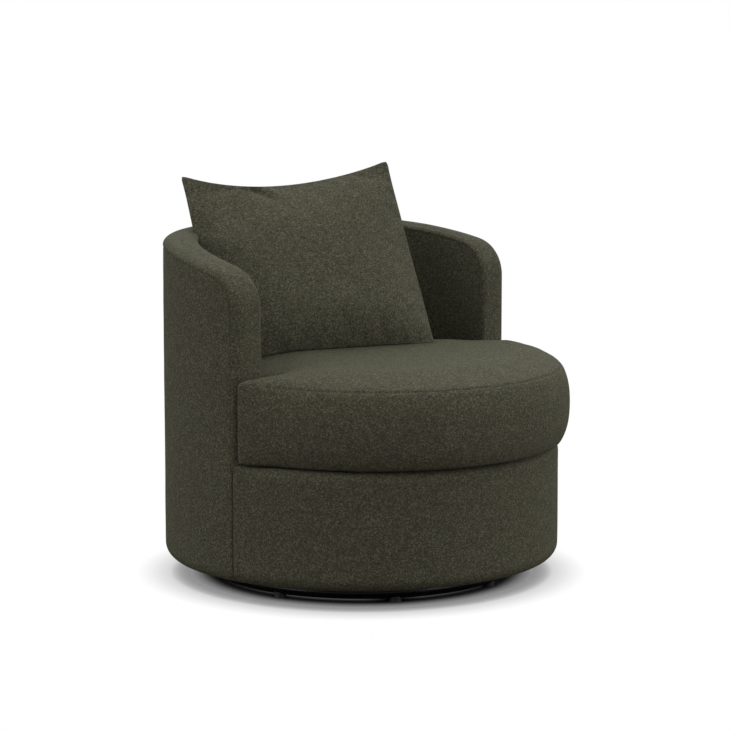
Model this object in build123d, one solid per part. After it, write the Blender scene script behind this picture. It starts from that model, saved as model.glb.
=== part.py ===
"""Barrel swivel chair: an upholstered tub on a round drum, which turns on a low steel ring.

Millimetres, +Z up. The origin is where the swivel axis meets the floor, and the chair faces -Y.
"""

import math
import os

from build123d import *

# Driving sizes of the drum and the tub
drum_radius = 400.0
base_gap = 12.0  # from the top of the base ring to the bottom of the drum
base_height = 224.0  # from the bottom of the drum to the line where the cushion rests
bottom_round = 32.0  # lower edge of the drum
deck_round = 20.0  # front edge of the drum, under the cushion
tub_wall = 70.0
arm_reach = 45.0  # arm fronts stand this far in front of the swivel axis
side_seam_reach = 29.0  # side seams, in front of the swivel axis
back_rise = 423.0  # from the seat line to the top of the back
rim_arc = 1600.0  # radius of the rim in side view
arm_corner_round = 80.0
rim_edge_bevel = 10.0
round_steps = 4  # flats round the drum's lower and upper edges

# Upholstery
cover_thickness = 2.0
outer_foam = 12.0
inner_foam = 16.0
rim_foam = 16.0
felt_thickness = 6.0
cloth_thickness = 1.0
hem_width = 55.0  # cover turned under the drum
deck_lip = 70.0  # drum cover turned in over the front of the deck
layer_gap = 0.2  # between layers that lie on each other
crown_power = 2.4  # how squarely a crown rounds over to its seam

# Timber frame
panel_thickness = 4.0
inner_panel_thickness = 3.0
board_thickness = 18.0
deck_ring_width = 92.0
post_width = 32.0
post_count = 8
block_play = 2.0  # straight blocks, clear of the bent panels
upright_width = 30.0
upright_count = 5
upright_spread = 72.0  # degrees each side of the back
rail_depth = 30.0
strap_width = 50.0
strap_pitch = 92.0
strap_thickness = 1.5
strap_count = 5
strap_hold = 28.0  # length of strap on the deck ring

# Base and swivel
ring_radius = 300.0  # centre line of the tube
tube_diameter = 25.0
tube_flats = 12  # the round tube is drawn with flats
glide_height = 6.0
glide_diameter = 24.0
glide_grip = 5.0  # saddle of a glide, up the side of the tube
glide_count = 8
base_turn = 55.8  # degrees from +X to the long arm
arm_width = 30.0
arm_height = 14.0
arm_wall = 1.5
plate_width = 190.0
plate_corner = 12.0
plate_thickness = 3.0
race_radius = 80.0
ball_diameter = 8.0
ball_count = 6
ball_play = 0.15
race_depth = 1.0
race_half_width = 2.0  # of the vee groove, at the plate's face
cage_width = 18.0
cage_thickness = 2.5
king_diameter = 12.0
king_head_across = 22.0
king_head_height = 5.0
king_nut_across = 19.0
king_nut_height = 5.0
king_washer_diameter = 26.0
king_well_play = 3.0  # round the washer, in the spacer and the board
washer_thickness = 1.5
running_play = 0.06
bolt_diameter = 6.0
bolt_head_height = 3.0
bolt_head_diameter = 11.0
bolt_play = 0.25
lower_bolt_radius = 52.0
upper_bolt_radius = 104.0
nut_height = 4.0
tee_nut_diameter = 20.0
tee_nut_barrel = 8.0
tee_nut_length = 11.0
tee_nut_flange = 1.5
access_diameter = 16.0
spacer_width = 176.0

# Seat cushion
cushion_overhang = 31.0  # in front of the drum
cushion_front_radius = 393.0
cushion_boxing = 159.0
cushion_crown = 37.0
cushion_gap = 1.5  # to the arms and the back
cushion_lift_gap = 0.5
seam_draw = 7.0  # sides drawn in at the top seam
foot_draw = 15.0  # sides drawn in at the foot
core_margin = 24.0  # fibre wrap between the foam slab and the cover
zip_rise = 95.0  # from the foot of the boxing to the middle of the zip
zip_height = 16.0
zip_thickness = 0.8
zip_spread = 25.0  # degrees each side of the back

# Throw pillow
pillow_width = 452.0
pillow_height = 410.0
pillow_thickness = 140.0
pillow_dip = 16.0  # sides drawn in between the corners
pillow_yaw = -25.5  # degrees, turned to face one side a little
pillow_lean = 30.3
pillow_roll = 2.4
pillow_touch = 28.3  # degrees in plan, from its own width to where its far edge leans on the rim
pillow_wall_gap = 7.5  # room for the swell of the edge that leans on the rim
pillow_sink = 20.2  # its lowest corner, below the top of the seat
pillow_filling_margin = 10.0

# Places that follow from the sizes
tube_radius = tube_diameter / 2
ring_z = glide_height + tube_radius
drum_bottom = glide_height + tube_diameter + base_gap
seat_line = drum_bottom + base_height
back_top = seat_line + back_rise
tub_inside = drum_radius - tub_wall
outer_skin = cover_thickness + outer_foam  # outside of the drum to the bent panel
inner_skin = cover_thickness + inner_foam
rim_skin = cover_thickness + rim_foam
panel_outside = drum_radius - outer_skin
frame_outside = panel_outside - panel_thickness - layer_gap
inner_panel_inside = tub_inside + inner_skin
frame_inside = inner_panel_inside + inner_panel_thickness + layer_gap
frame_middle = (frame_outside + frame_inside) / 2
frame_depth = frame_outside - frame_inside
spacer_reach = math.hypot(spacer_width / 2, spacer_width / 2 - plate_corner)
board_low = drum_bottom + cover_thickness + layer_gap
board_top = board_low + board_thickness
felt_top = seat_line - cover_thickness - layer_gap
deck_top = felt_top - felt_thickness - 2 * strap_thickness - 2 * layer_gap
deck_low = deck_top - board_thickness
deck_opening = frame_outside - deck_ring_width
arm_top = ring_z + arm_height / 2
arm_low = ring_z - arm_height / 2
lower_plate_top = arm_top + plate_thickness
race_slope = race_depth / race_half_width
ball_rise = (ball_diameter / 2 + ball_play) * math.sqrt(1 + race_slope**2)  # above the foot of the groove
ball_z = lower_plate_top - race_depth + ball_rise
upper_plate_low = 2 * ball_z - lower_plate_top
upper_plate_top = upper_plate_low + plate_thickness
seam_z = seat_line + cushion_lift_gap + cushion_boxing
crest_y = drum_radius - tub_wall / 2
crest_centre = Vector(crest_y, back_top - rim_arc)
corner_y = arm_corner_round - arm_reach
corner_z = crest_centre.Y + math.sqrt((rim_arc - arm_corner_round) ** 2 - (corner_y - crest_y) ** 2)
beyond = 2 * drum_radius  # well outside the chair
past = 1.0  # how far a cut runs past the face that it opens


def disc(radius, low, high):
    """Upright cylinder on the swivel axis, with its seam line at the front."""
    upright = Cylinder(radius, high - low, align=(Align.CENTER, Align.CENTER, Align.MIN))
    return Pos(0, 0, low) * Rot(0, 0, -90) * upright


def ring(outer, inner, low, high):
    return disc(outer, low, high) - disc(inner, low - past, high + past)


def front_half(y):
    """Everything in front of the plane at y."""
    size = 2 * beyond
    return Pos(0, y, 0) * Box(size, size, size, align=(Align.CENTER, Align.MAX, Align.CENTER))


def back_half(y):
    """Everything behind the plane at y."""
    size = 2 * beyond
    return Pos(0, y, 0) * Box(size, size, size, align=(Align.CENTER, Align.MIN, Align.CENTER))


def spun(points_and_arcs):
    """Solid of revolution about the swivel axis, from an outline in radius and height."""
    return revolve(Plane.XZ * make_face(points_and_arcs), Axis.Z, 360)


def under_rim(inset, low):
    """Block below the rim line in side view, drawn in by inset from the rim and the arm fronts."""
    corner = Vector(corner_y, corner_z)
    toward = (corner - crest_centre).normalized()
    meet = crest_centre + toward * (rim_arc - inset)
    small = arm_corner_round - inset
    half_turn = (math.pi + math.atan2(toward.Y, toward.X)) / 2
    bend = corner + Vector(math.cos(half_turn), math.sin(half_turn)) * small
    front = corner_y - small
    back = drum_radius + tub_wall
    back_z = crest_centre.Y + math.sqrt((rim_arc - inset) ** 2 - (back - crest_y) ** 2)
    outline = [
        Line((front, low), (front, corner_z)),
        ThreePointArc((front, corner_z), (bend.X, bend.Y), (meet.X, meet.Y)),
        ThreePointArc((meet.X, meet.Y), (crest_y, back_top - inset), (back, back_z)),
        Line((back, back_z), (back, low)),
        Line((back, low), (front, low)),
    ]
    return extrude(Plane.YZ * make_face(outline), amount=beyond, both=True)


def tub_block(inset, low):
    """The tub as one plain wall, drawn in by inset on every side."""
    wall = ring(drum_radius - inset, tub_inside + inset, low, back_top + tub_wall)
    return wall & under_rim(inset, low)


def rim_edges(block, inset, low):
    """The edges along the rim and down the arm fronts."""
    found = []
    for edge in block.edges():
        ends = [edge @ 0, edge @ 0.5, edge @ 1]
        radii = [math.hypot(p.X, p.Y) for p in ends]
        outside = all(abs(r - drum_radius + inset) < 0.01 for r in radii)
        inside = all(abs(r - tub_inside - inset) < 0.01 for r in radii)
        if (outside or inside) and max(p.Z for p in ends) > low + past:
            found.append(edge)
    return found


def around(shape, count, start):
    """Copies of a shape, evenly spaced about the swivel axis."""
    return [Rot(0, 0, start + i * 360 / count) * shape for i in range(count)]


def upright_cylinder(radius, x, y, low, high):
    return Pos(x, y, 0) * disc(radius, low, high)


def hexagon(across, low, high):
    prism = extrude(RegularPolygon(across / 2, 6, major_radius=False), amount=high - low)
    return Pos(0, 0, low) * prism


# Base: ring, arms and glides, which stand still on the floor


def tube_section(grow):
    """The ring's tube in section, drawn with flats, as radius and height."""
    turn = 2 * math.pi / tube_flats
    reach = (tube_radius + grow) / math.cos(turn / 2)
    corners = [(i + 0.5) * turn for i in range(tube_flats)]
    return [(ring_radius + reach * math.cos(a), ring_z + reach * math.sin(a)) for a in corners]


def base_ring():
    return spun(Polyline(*tube_section(0), close=True))


def tube_space():
    """What the ring's tube fills, with a little room."""
    return spun(Polyline(*tube_section(layer_gap), close=True))


def arm_tube(start):
    """Rectangular tube from a distance off the axis out to its weld on the ring."""
    ring_inside = ring_radius - tube_radius
    length = math.sqrt(ring_inside**2 - (arm_width / 2) ** 2) - layer_gap - start
    tube = Box(length, arm_width, arm_height, align=(Align.MIN, Align.CENTER, Align.CENTER))
    bore_size = (arm_width - 2 * arm_wall, arm_height - 2 * arm_wall)
    bore = Box(length, *bore_size, align=(Align.MIN, Align.CENTER, Align.CENTER))
    return Pos(start, 0, ring_z) * (tube - bore)


def lower_bolt_places():
    return [Rot(0, 0, 90 * i) * Pos(lower_bolt_radius, 0, 0) for i in range(4)]


def lower_holes():
    """Holes for the king bolt and the lower plate's bolts."""
    hole = disc(bolt_diameter / 2 + bolt_play, 0, back_top)
    holes = [place * hole for place in lower_bolt_places()]
    return holes + [disc(king_diameter / 2 + bolt_play, 0, back_top)]


def cross_arm_long():
    whole = arm_tube(0) + Rot(0, 0, 180) * arm_tube(0)
    return Rot(0, 0, base_turn) * (whole - lower_holes())


def cross_arm_halves():
    half = arm_tube(arm_width / 2 + layer_gap)
    pair = [Rot(0, 0, turn) * half - lower_holes() for turn in (90, 270)]
    return [Rot(0, 0, base_turn) * one for one in pair]


def floor_glides():
    """Moulded saddles that clip on the underside of the ring."""
    foot = disc(glide_diameter / 2, 0, glide_height + glide_grip)
    glide = Pos(ring_radius, 0, 0) * foot - tube_space()
    return around(glide, glide_count, base_turn)


# Swivel: two raced plates with a ball ring between them


def race_groove(plate_face, toward_balls):
    """Vee groove in a plate's face, for the balls to run in."""
    floor = plate_face - toward_balls * race_depth
    mouth = plate_face + toward_balls * race_depth
    wide = 2 * race_half_width
    sides = [(race_radius + wide, mouth), (race_radius - wide, mouth)]
    return spun(Polyline((race_radius, floor), *sides, close=True))


def square_plate(width, low, high):
    """Square block with its corners cut off."""
    block = Box(width, width, high - low, align=(Align.CENTER, Align.CENTER, Align.MIN))
    return chamfer((Pos(0, 0, low) * block).edges().filter_by(Axis.Z), plate_corner)


def lower_swivel_plate():
    plate = square_plate(plate_width, arm_top, lower_plate_top) - race_groove(lower_plate_top, 1)
    access = upright_cylinder(access_diameter / 2, upper_bolt_radius, 0, 0, back_top)
    return Rot(0, 0, base_turn) * (plate - lower_holes() - Rot(0, 0, 45) * access)


def upper_bolt_places():
    return [Rot(0, 0, 45 + 90 * i) * Pos(upper_bolt_radius, 0, 0) for i in range(4)]


def upper_swivel_plate():
    plate = square_plate(spacer_width, upper_plate_low, upper_plate_top)
    plate = plate - race_groove(upper_plate_low, -1)
    hole = disc(bolt_diameter / 2 + bolt_play, 0, back_top)
    plate = plate - [place * hole for place in upper_bolt_places()]
    return plate - disc(king_diameter / 2 + running_play, 0, back_top)


def bearing_balls():
    ball = Pos(race_radius, 0, ball_z) * Sphere(ball_diameter / 2)
    return around(ball, ball_count, 0)


def ball_cage():
    low = ball_z - cage_thickness / 2
    high = ball_z + cage_thickness / 2
    cage = ring(race_radius + cage_width / 2, race_radius - cage_width / 2, low, high)
    pocket = upright_cylinder(ball_diameter / 2 + ball_play, race_radius, 0, low - past, high + past)
    return cage - around(pocket, ball_count, 0)


def king_bolt():
    head_low = upper_plate_top + washer_thickness + running_play
    shank = disc(king_diameter / 2, arm_low - king_nut_height, head_low)
    return shank + hexagon(king_head_across, head_low, head_low + king_head_height)


def king_washer():
    low = upper_plate_top + running_play / 2
    return ring(king_washer_diameter / 2, king_diameter / 2 + running_play, low, low + washer_thickness)


def king_nut():
    nut = hexagon(king_nut_across, arm_low - king_nut_height, arm_low)
    return nut - disc(king_diameter / 2 + running_play, 0, arm_low + past)


def lower_plate_bolts():
    shank = disc(bolt_diameter / 2, arm_low - nut_height, lower_plate_top)
    head = hexagon(bolt_head_diameter, lower_plate_top, lower_plate_top + bolt_head_height)
    return [Rot(0, 0, base_turn) * place * (shank + head) for place in lower_bolt_places()]


def lower_plate_nuts():
    nut = hexagon(bolt_head_diameter, arm_low - nut_height, arm_low)
    nut = nut - disc(bolt_diameter / 2 + running_play, 0, arm_low + past)
    return [Rot(0, 0, base_turn) * place * nut for place in lower_bolt_places()]


def upper_plate_bolts():
    shank = disc(bolt_diameter / 2, upper_plate_low, board_low + tee_nut_length)
    head = hexagon(bolt_head_diameter, upper_plate_low - bolt_head_height, upper_plate_low)
    return [place * (shank + head) for place in upper_bolt_places()]


def tee_nuts():
    """Flanged nuts driven down into the bottom board from above."""
    flange = hexagon(tee_nut_diameter, board_top, board_top + tee_nut_flange)
    barrel = disc(tee_nut_barrel / 2, board_top - tee_nut_length, board_top)
    nut = flange + barrel - disc(bolt_diameter / 2 + running_play, 0, back_top)
    return [place * nut for place in upper_bolt_places()]


def king_well():
    """Clear space round the king bolt's head."""
    return disc(king_washer_diameter / 2 + king_well_play, 0, board_top + past)


def swivel_spacer():
    block = square_plate(spacer_width, upper_plate_top, board_low)
    hole = disc(bolt_diameter / 2 + bolt_play, 0, back_top)
    return block - king_well() - [place * hole for place in upper_bolt_places()]


# Timber frame, which turns with the chair


def cover_bend():
    """Half way round the inside of the drum cover's lower edge, as radius and height."""
    inside = (bottom_round - cover_thickness) * math.sqrt(0.5)
    return drum_radius - bottom_round + inside, drum_bottom + bottom_round - inside


def skin_height(radius):
    """Height of the cover's inner face under the drum at a radius between the flat and the bend."""
    bend_radius, bend_height = cover_bend()
    flat = drum_radius - bottom_round
    flat_height = drum_bottom + cover_thickness
    return flat_height + (radius - flat) / (bend_radius - flat) * (bend_height - flat_height)


def bottom_board():
    """Round board with a bevelled lower edge, which the cover is pulled over."""
    edge_height = skin_height(frame_outside) + 2 * layer_gap
    outline = Polyline(
        (0, board_low),
        (drum_radius - bottom_round, board_low),
        (frame_outside, edge_height),
        (frame_outside, board_top),
        (0, board_top),
        close=True,
    )
    hole = disc(tee_nut_barrel / 2 + running_play, 0, back_top)
    return spun(outline) - king_well() - [place * hole for place in upper_bolt_places()]


def base_posts():
    depth = frame_depth - block_play
    post = Box(depth, post_width, deck_low - board_top, align=(Align.CENTER, Align.CENTER, Align.MIN))
    return around(Pos(frame_middle, 0, board_top) * post, post_count, 180 / post_count)


def deck_ring():
    return ring(frame_outside, deck_opening, deck_low, deck_top)


def front_drum_panel():
    low = skin_height(panel_outside) + 2 * layer_gap
    hoop = ring(panel_outside, panel_outside - panel_thickness, low, deck_top)
    return hoop & front_half(-side_seam_reach)


def outer_tub_panel():
    low = skin_height(panel_outside) + 2 * layer_gap
    hoop = ring(panel_outside, panel_outside - panel_thickness, low, back_top)
    return hoop & under_rim(rim_skin + layer_gap, low - past)


def inner_tub_panel():
    hoop = ring(inner_panel_inside + inner_panel_thickness, inner_panel_inside, deck_top, back_top)
    return hoop & under_rim(rim_skin + layer_gap, deck_top - past)


def rail_hoop():
    """Bent rail that follows the rim, from deck to deck."""
    hoop = ring(frame_outside, frame_inside, deck_top, back_top)
    hoop = hoop & under_rim(rim_skin + layer_gap, deck_top - past)
    return hoop - under_rim(rim_skin + rail_depth, deck_top - 2 * past)


def top_rail():
    return rail_hoop() & back_half(corner_y + layer_gap)


def arm_front_frame(side):
    sided = Box(beyond, beyond, 2 * beyond, align=(Align.MIN, Align.CENTER, Align.CENTER))
    turn = 0 if side > 0 else 180
    return (rail_hoop() & front_half(corner_y)) & Rot(0, 0, turn) * sided


def tub_uprights():
    depth = frame_depth - block_play
    tall = Box(depth, upright_width, back_top - deck_top, align=(Align.CENTER, Align.CENTER, Align.MIN))
    tall = Pos(frame_middle, 0, deck_top) * tall
    room = under_rim(rim_skin + rail_depth + layer_gap, deck_top - past)
    step = 2 * upright_spread / (upright_count - 1)
    return [Rot(0, 0, 90 - upright_spread + i * step) * tall & room for i in range(upright_count)]


def strap(offset, low):
    """Strap along Y, held on the deck ring at both ends."""
    hold = deck_opening + strap_hold
    half = math.sqrt(hold**2 - (abs(offset) + strap_width / 2) ** 2)
    return Pos(offset, 0, low) * Box(
        strap_width, 2 * half, strap_thickness, align=(Align.CENTER, Align.CENTER, Align.MIN)
    )


def strap_row(low):
    first = -(strap_count - 1) / 2 * strap_pitch
    return [strap(first + i * strap_pitch, low) for i in range(strap_count)]


def seat_webbing():
    over = strap_row(deck_top + strap_thickness + layer_gap)
    return strap_row(deck_top) + [Rot(0, 0, 90) * one for one in over]


# Foam, felt and cloth


def deck_shape(radius, low, high):
    """Deck-wide sheet: the disc inside the tub and the wider half in front of the side seams."""
    well = disc(tub_inside - layer_gap, low, high)
    apron = disc(radius, low, high) & front_half(-arm_reach)
    return well + apron


def deck_felt():
    return deck_shape(drum_radius - deck_round - cover_thickness, felt_top - felt_thickness, felt_top)


def deck_cloth():
    return deck_shape(drum_radius - deck_lip - layer_gap, felt_top + layer_gap / 2, seat_line)


def drum_foam_outline(top_points):
    """Section of the foam on the drum's side, which runs out under the lower edge."""
    bend_radius, bend_height = cover_bend()
    low_inside = skin_height(panel_outside + layer_gap) + 2 * layer_gap
    return Polyline(
        *top_points,
        (drum_radius - cover_thickness - layer_gap, drum_bottom + bottom_round + layer_gap),
        (bend_radius - layer_gap, bend_height + layer_gap),
        (panel_outside + layer_gap, low_inside),
        close=True,
    )


def front_drum_foam():
    outside = drum_radius - cover_thickness - layer_gap
    shoulder = drum_radius - deck_round
    inside = panel_outside + layer_gap
    slope = (deck_round - cover_thickness) / (drum_radius - cover_thickness - shoulder)
    inside_top = seat_line - deck_round + (outside - inside) * slope - layer_gap
    outline = drum_foam_outline([(inside, inside_top), (outside, seat_line - deck_round - layer_gap)])
    return spun(outline) & front_half(-side_seam_reach - layer_gap)


def foam_block():
    block = tub_block(cover_thickness + layer_gap, seat_line)
    edges = rim_edges(block, cover_thickness + layer_gap, seat_line)
    return chamfer(edges, rim_edge_bevel - cover_thickness)


def outer_tub_foam():
    outside = drum_radius - cover_thickness - layer_gap
    low = drum_foam_outline([(panel_outside + layer_gap, seat_line), (outside, seat_line)])
    drum_part = spun(low) & back_half(-side_seam_reach + layer_gap)
    tub_part = foam_block() - disc(panel_outside + layer_gap, 0, 2 * back_top)
    return drum_part + tub_part


def inner_tub_foam():
    return foam_block() & disc(inner_panel_inside - layer_gap, 0, 2 * back_top)


def rim_pad():
    between = ring(panel_outside, inner_panel_inside, seat_line - past, 2 * back_top)
    return (foam_block() & between) - under_rim(rim_skin, deck_top)


# Covers


def tub_cover_shell():
    """The whole cover of the tub above the seat line, eased along its edges."""
    outside = tub_block(0, seat_line)
    outside = chamfer(rim_edges(outside, 0, seat_line), rim_edge_bevel)
    low = seat_line - base_gap
    inside = tub_block(cover_thickness, low)
    inside = chamfer(rim_edges(inside, cover_thickness, low), rim_edge_bevel - cover_thickness)
    return outside - inside


def seam_inset():
    """Where the rim seams lie, in from the walls: along the middle of the eased edge."""
    return rim_edge_bevel / 2


def rounded(centre_radius, centre_height, size, start):
    """Points a quarter turn clockwise round an edge of the drum, as radius and height."""
    turns = [math.radians(start - 90 * i / round_steps) for i in range(round_steps + 1)]
    return [(centre_radius + size * math.cos(a), centre_height + size * math.sin(a)) for a in turns]


def drum_cover_points():
    """Section of the drum's cover: round the lower edge, under to the hem, and back up its inner face."""
    bend_radius, bend_height = cover_bend()
    flat = drum_radius - bottom_round
    side = drum_bottom + bottom_round
    return [
        *rounded(flat, side, bottom_round, 0),
        (drum_radius - hem_width, drum_bottom),
        (drum_radius - hem_width, drum_bottom + cover_thickness),
        (flat, drum_bottom + cover_thickness),
        (bend_radius, bend_height),
        (drum_radius - cover_thickness, side),
    ]


def outer_tub_cover():
    top = [(drum_radius - cover_thickness, seat_line), (drum_radius, seat_line)]
    drum_part = spun(Polyline(*drum_cover_points(), *top, close=True)) & back_half(-side_seam_reach)
    return drum_part + (tub_cover_shell() - disc(drum_radius - seam_inset(), 0, 2 * back_top))


def front_drum_cover():
    shoulder = drum_radius - deck_round
    over_top = [
        (drum_radius - cover_thickness, seat_line - deck_round),
        (shoulder, seat_line - cover_thickness),
        (drum_radius - deck_lip, seat_line - cover_thickness),
        (drum_radius - deck_lip, seat_line),
        *rounded(shoulder, seat_line - deck_round, deck_round, 90),
    ]
    outline = Polyline(*drum_cover_points(), *over_top, close=True)
    return spun(outline) & front_half(-side_seam_reach - layer_gap)


def rim_band():
    outer = drum_radius - seam_inset() - layer_gap
    inner = tub_inside + seam_inset() + layer_gap
    return tub_cover_shell() & ring(outer, inner, seat_line - past, 2 * back_top)


def inside_tub_cover():
    return tub_cover_shell() & disc(tub_inside + seam_inset(), 0, 2 * back_top)


def dust_cloth():
    outer = drum_radius - hem_width - layer_gap
    top = board_low - layer_gap
    return ring(outer, spacer_reach + layer_gap, top - cloth_thickness, top)


# Seat cushion


cushion_centre = cushion_front_radius - drum_radius - cushion_overhang
cushion_ear_y = -arm_reach - cushion_gap
tongue_radius = tub_inside - cushion_gap


def boxing_points(radius):
    """Outline up the boxing, drawn in at the foot and at the seam, as radius and height."""
    points = []
    for level in (0, 0.2, 0.5, 0.8, 1):
        draw = foot_draw if level < 0.5 else seam_draw
        height = seat_line + cushion_lift_gap + level * cushion_boxing
        points.append((radius - draw * abs(2 * level - 1) ** 3, height))
    return points


def crown_points():
    """Outline over the crown, from inside the seam to the axis, as radius and height."""
    seam = cushion_front_radius - seam_draw
    shares = (0.94, 0.8, 0.6, 0.36)
    points = [(seam * share, seam_z + cushion_crown * (1 - share**crown_power)) for share in shares]
    return points + [(0, points[-1][1])]


def cushion_turned(points):
    """Solid of revolution about the middle of the cushion's round front."""
    return Pos(0, cushion_centre, 0) * spun(Polyline((0, seat_line + cushion_lift_gap), *points, close=True))


def cushion_form():
    front = cushion_turned(boxing_points(cushion_front_radius) + crown_points())
    seam = cushion_front_radius - seam_draw
    dome = cushion_turned([(seam, seat_line + cushion_lift_gap), (seam, seam_z)] + crown_points())
    side = boxing_points(tongue_radius)
    top = seam_z + cushion_crown
    tongue = spun(Polyline((0, side[0][1]), *side, (side[-1][0], top), (0, top), close=True)) & dome
    return (front & front_half(cushion_ear_y)) + (tongue & back_half(cushion_ear_y))


def core_slab(margin):
    """Flat slab of foam inside the cushion: a round front, and a round tongue back into the tub."""
    foot = seat_line + cushion_lift_gap + margin
    top = seam_z - margin
    ear_y = cushion_ear_y - margin
    front = Pos(0, cushion_centre, 0) * disc(cushion_front_radius - margin, foot, top)
    tongue = disc(tongue_radius - margin, foot, top)
    return (front & front_half(ear_y)) + (tongue & back_half(ear_y))


def seat_cushion_cover():
    return cushion_form() - core_slab(core_margin)


def seat_cushion_core():
    return core_slab(core_margin + layer_gap)


def seat_cushion_zip():
    """Zip in the back of the boxing, where the tub hides it."""
    middle = seat_line + cushion_lift_gap + zip_rise
    inner = tongue_radius + layer_gap
    strip = ring(inner + zip_thickness, inner, middle - zip_height / 2, middle + zip_height / 2)
    edge = math.cos(math.radians(zip_spread)) * inner
    return strip & back_half(edge)


# Throw pillow


def pillow_outline():
    """Square with pointed corners and drawn-in sides."""
    w = pillow_width / 2
    h = pillow_height / 2
    return make_face([
        ThreePointArc((-w, -h), (0, -h + pillow_dip), (w, -h)),
        ThreePointArc((w, -h), (w - pillow_dip, 0), (w, h)),
        ThreePointArc((w, h), (0, h - pillow_dip), (-w, h)),
        ThreePointArc((-w, h), (-w + pillow_dip, 0), (-w, -h)),
    ])


def pillow_place():
    """Standing on the seat, turned to one side, with its far edge leaning on the rim of the tub."""
    lean = math.radians(pillow_lean)
    roll = math.radians(pillow_roll)
    drop = pillow_height / 2 * math.cos(roll) + pillow_width / 2 * math.sin(roll)
    height = seam_z + cushion_crown - pillow_sink + drop * math.cos(lean)
    reach = tub_inside - pillow_wall_gap
    touch = math.radians(pillow_touch)
    side = pillow_width / 2 - pillow_dip - reach * math.cos(touch)
    depth = reach * math.sin(touch) - (back_top - height) * math.tan(lean)
    stand = Rot(0, 0, pillow_yaw) * Pos(side, depth, height)
    return stand * Rot(90 - pillow_lean, 0, 0) * Rot(0, 0, pillow_roll)


def pillow_form():
    plan = pillow_outline()
    halves = []
    for way in (-1, 1):
        swell = way * pillow_thickness / 2
        shares = (1, 0.93, 0.8, 0.6, 0.34)
        halves.append(loft([Pos(0, 0, swell * (1 - k**crown_power)) * scale(plan, by=k) for k in shares]))
    return halves[0] + halves[1]


def filling(margin):
    """Plain bag inside the cover: two lens outlines with flats, crossing at right angles."""
    swell = pillow_thickness / 2 - margin
    lenses = []
    for half in (pillow_width / 2, pillow_height / 2):
        reach = half - pillow_dip - margin
        rise = [(reach * k, swell * (1 - k**crown_power)) for k in (1, 0.7, 0.35)]
        upper = rise + [(-x, z) for x, z in reversed(rise)]
        lower = [(x, -z) for x, z in reversed(upper)][1:-1]
        lens = Plane.XZ * make_face(Polyline(*upper, *lower, close=True))
        lenses.append(extrude(lens, amount=beyond, both=True))
    return lenses[0] & Rot(0, 0, 90) * lenses[1]


def pillow_cover():
    return pillow_place() * (pillow_form() - filling(pillow_filling_margin))


def pillow_insert():
    return pillow_place() * filling(pillow_filling_margin + layer_gap)


def main():
    nodes = {
        "base_ring": base_ring(),
        "cross_arm_long": cross_arm_long(),
        "cross_arm_halves": cross_arm_halves(),
        "floor_glides": floor_glides(),
        "lower_swivel_plate": lower_swivel_plate(),
        "lower_plate_bolts": lower_plate_bolts(),
        "lower_plate_nuts": lower_plate_nuts(),
        "king_bolt": king_bolt(),
        "king_washer": king_washer(),
        "king_nut": king_nut(),
        "bearing_balls": bearing_balls(),
        "ball_cage": ball_cage(),
        "upper_swivel_plate": upper_swivel_plate(),
        "upper_plate_bolts": upper_plate_bolts(),
        "tee_nuts": tee_nuts(),
        "swivel_spacer": swivel_spacer(),
        "bottom_board": bottom_board(),
        "base_posts": base_posts(),
        "deck_ring": deck_ring(),
        "front_drum_panel": front_drum_panel(),
        "outer_tub_panel": outer_tub_panel(),
        "inner_tub_panel": inner_tub_panel(),
        "top_rail": top_rail(),
        "arm_front_frame_left": arm_front_frame(1),
        "arm_front_frame_right": arm_front_frame(-1),
        "tub_uprights": tub_uprights(),
        "seat_webbing": seat_webbing(),
        "deck_felt": deck_felt(),
        "deck_cloth": deck_cloth(),
        "front_drum_foam": front_drum_foam(),
        "outer_tub_foam": outer_tub_foam(),
        "inner_tub_foam": inner_tub_foam(),
        "rim_pad": rim_pad(),
        "outer_tub_cover": outer_tub_cover(),
        "front_drum_cover": front_drum_cover(),
        "rim_band": rim_band(),
        "inside_tub_cover": inside_tub_cover(),
        "dust_cloth": dust_cloth(),
        "seat_cushion_cover": seat_cushion_cover(),
        "seat_cushion_core": seat_cushion_core(),
        "seat_cushion_zip": seat_cushion_zip(),
        "pillow_cover": pillow_cover(),
        "pillow_insert": pillow_insert(),
    }
    os.makedirs("parts", exist_ok=True)
    for name, shape in nodes.items():
        solids = shape if isinstance(shape, list) else [shape]
        solids = [solid for part in solids for solid in part.solids()]
        whole = solids[0] if len(solids) == 1 else Compound(solids)
        export_step(whole, f"parts/{name}.step")
        print(name, "solids", len(solids), "volume", round(sum(s.volume for s in solids) / 1000), "cm3")


if __name__ == "__main__":
    main()
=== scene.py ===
# %% [markdown]
# # Dressing a barrel swivel chair
# The chair is a round drum with a tub on top, covered in dark olive looped fabric, and it turns on a
# low black ring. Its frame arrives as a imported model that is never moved. Here each cover, cushion
# and finish is laid over that frame, in metres, with +Z up and the chair facing -Y.

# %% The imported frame
import math

import bmesh
import bpy
import numpy as np
from mathutils import Matrix, Vector, geometry, kdtree, noise
from mathutils.bvhtree import BVHTree


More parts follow.
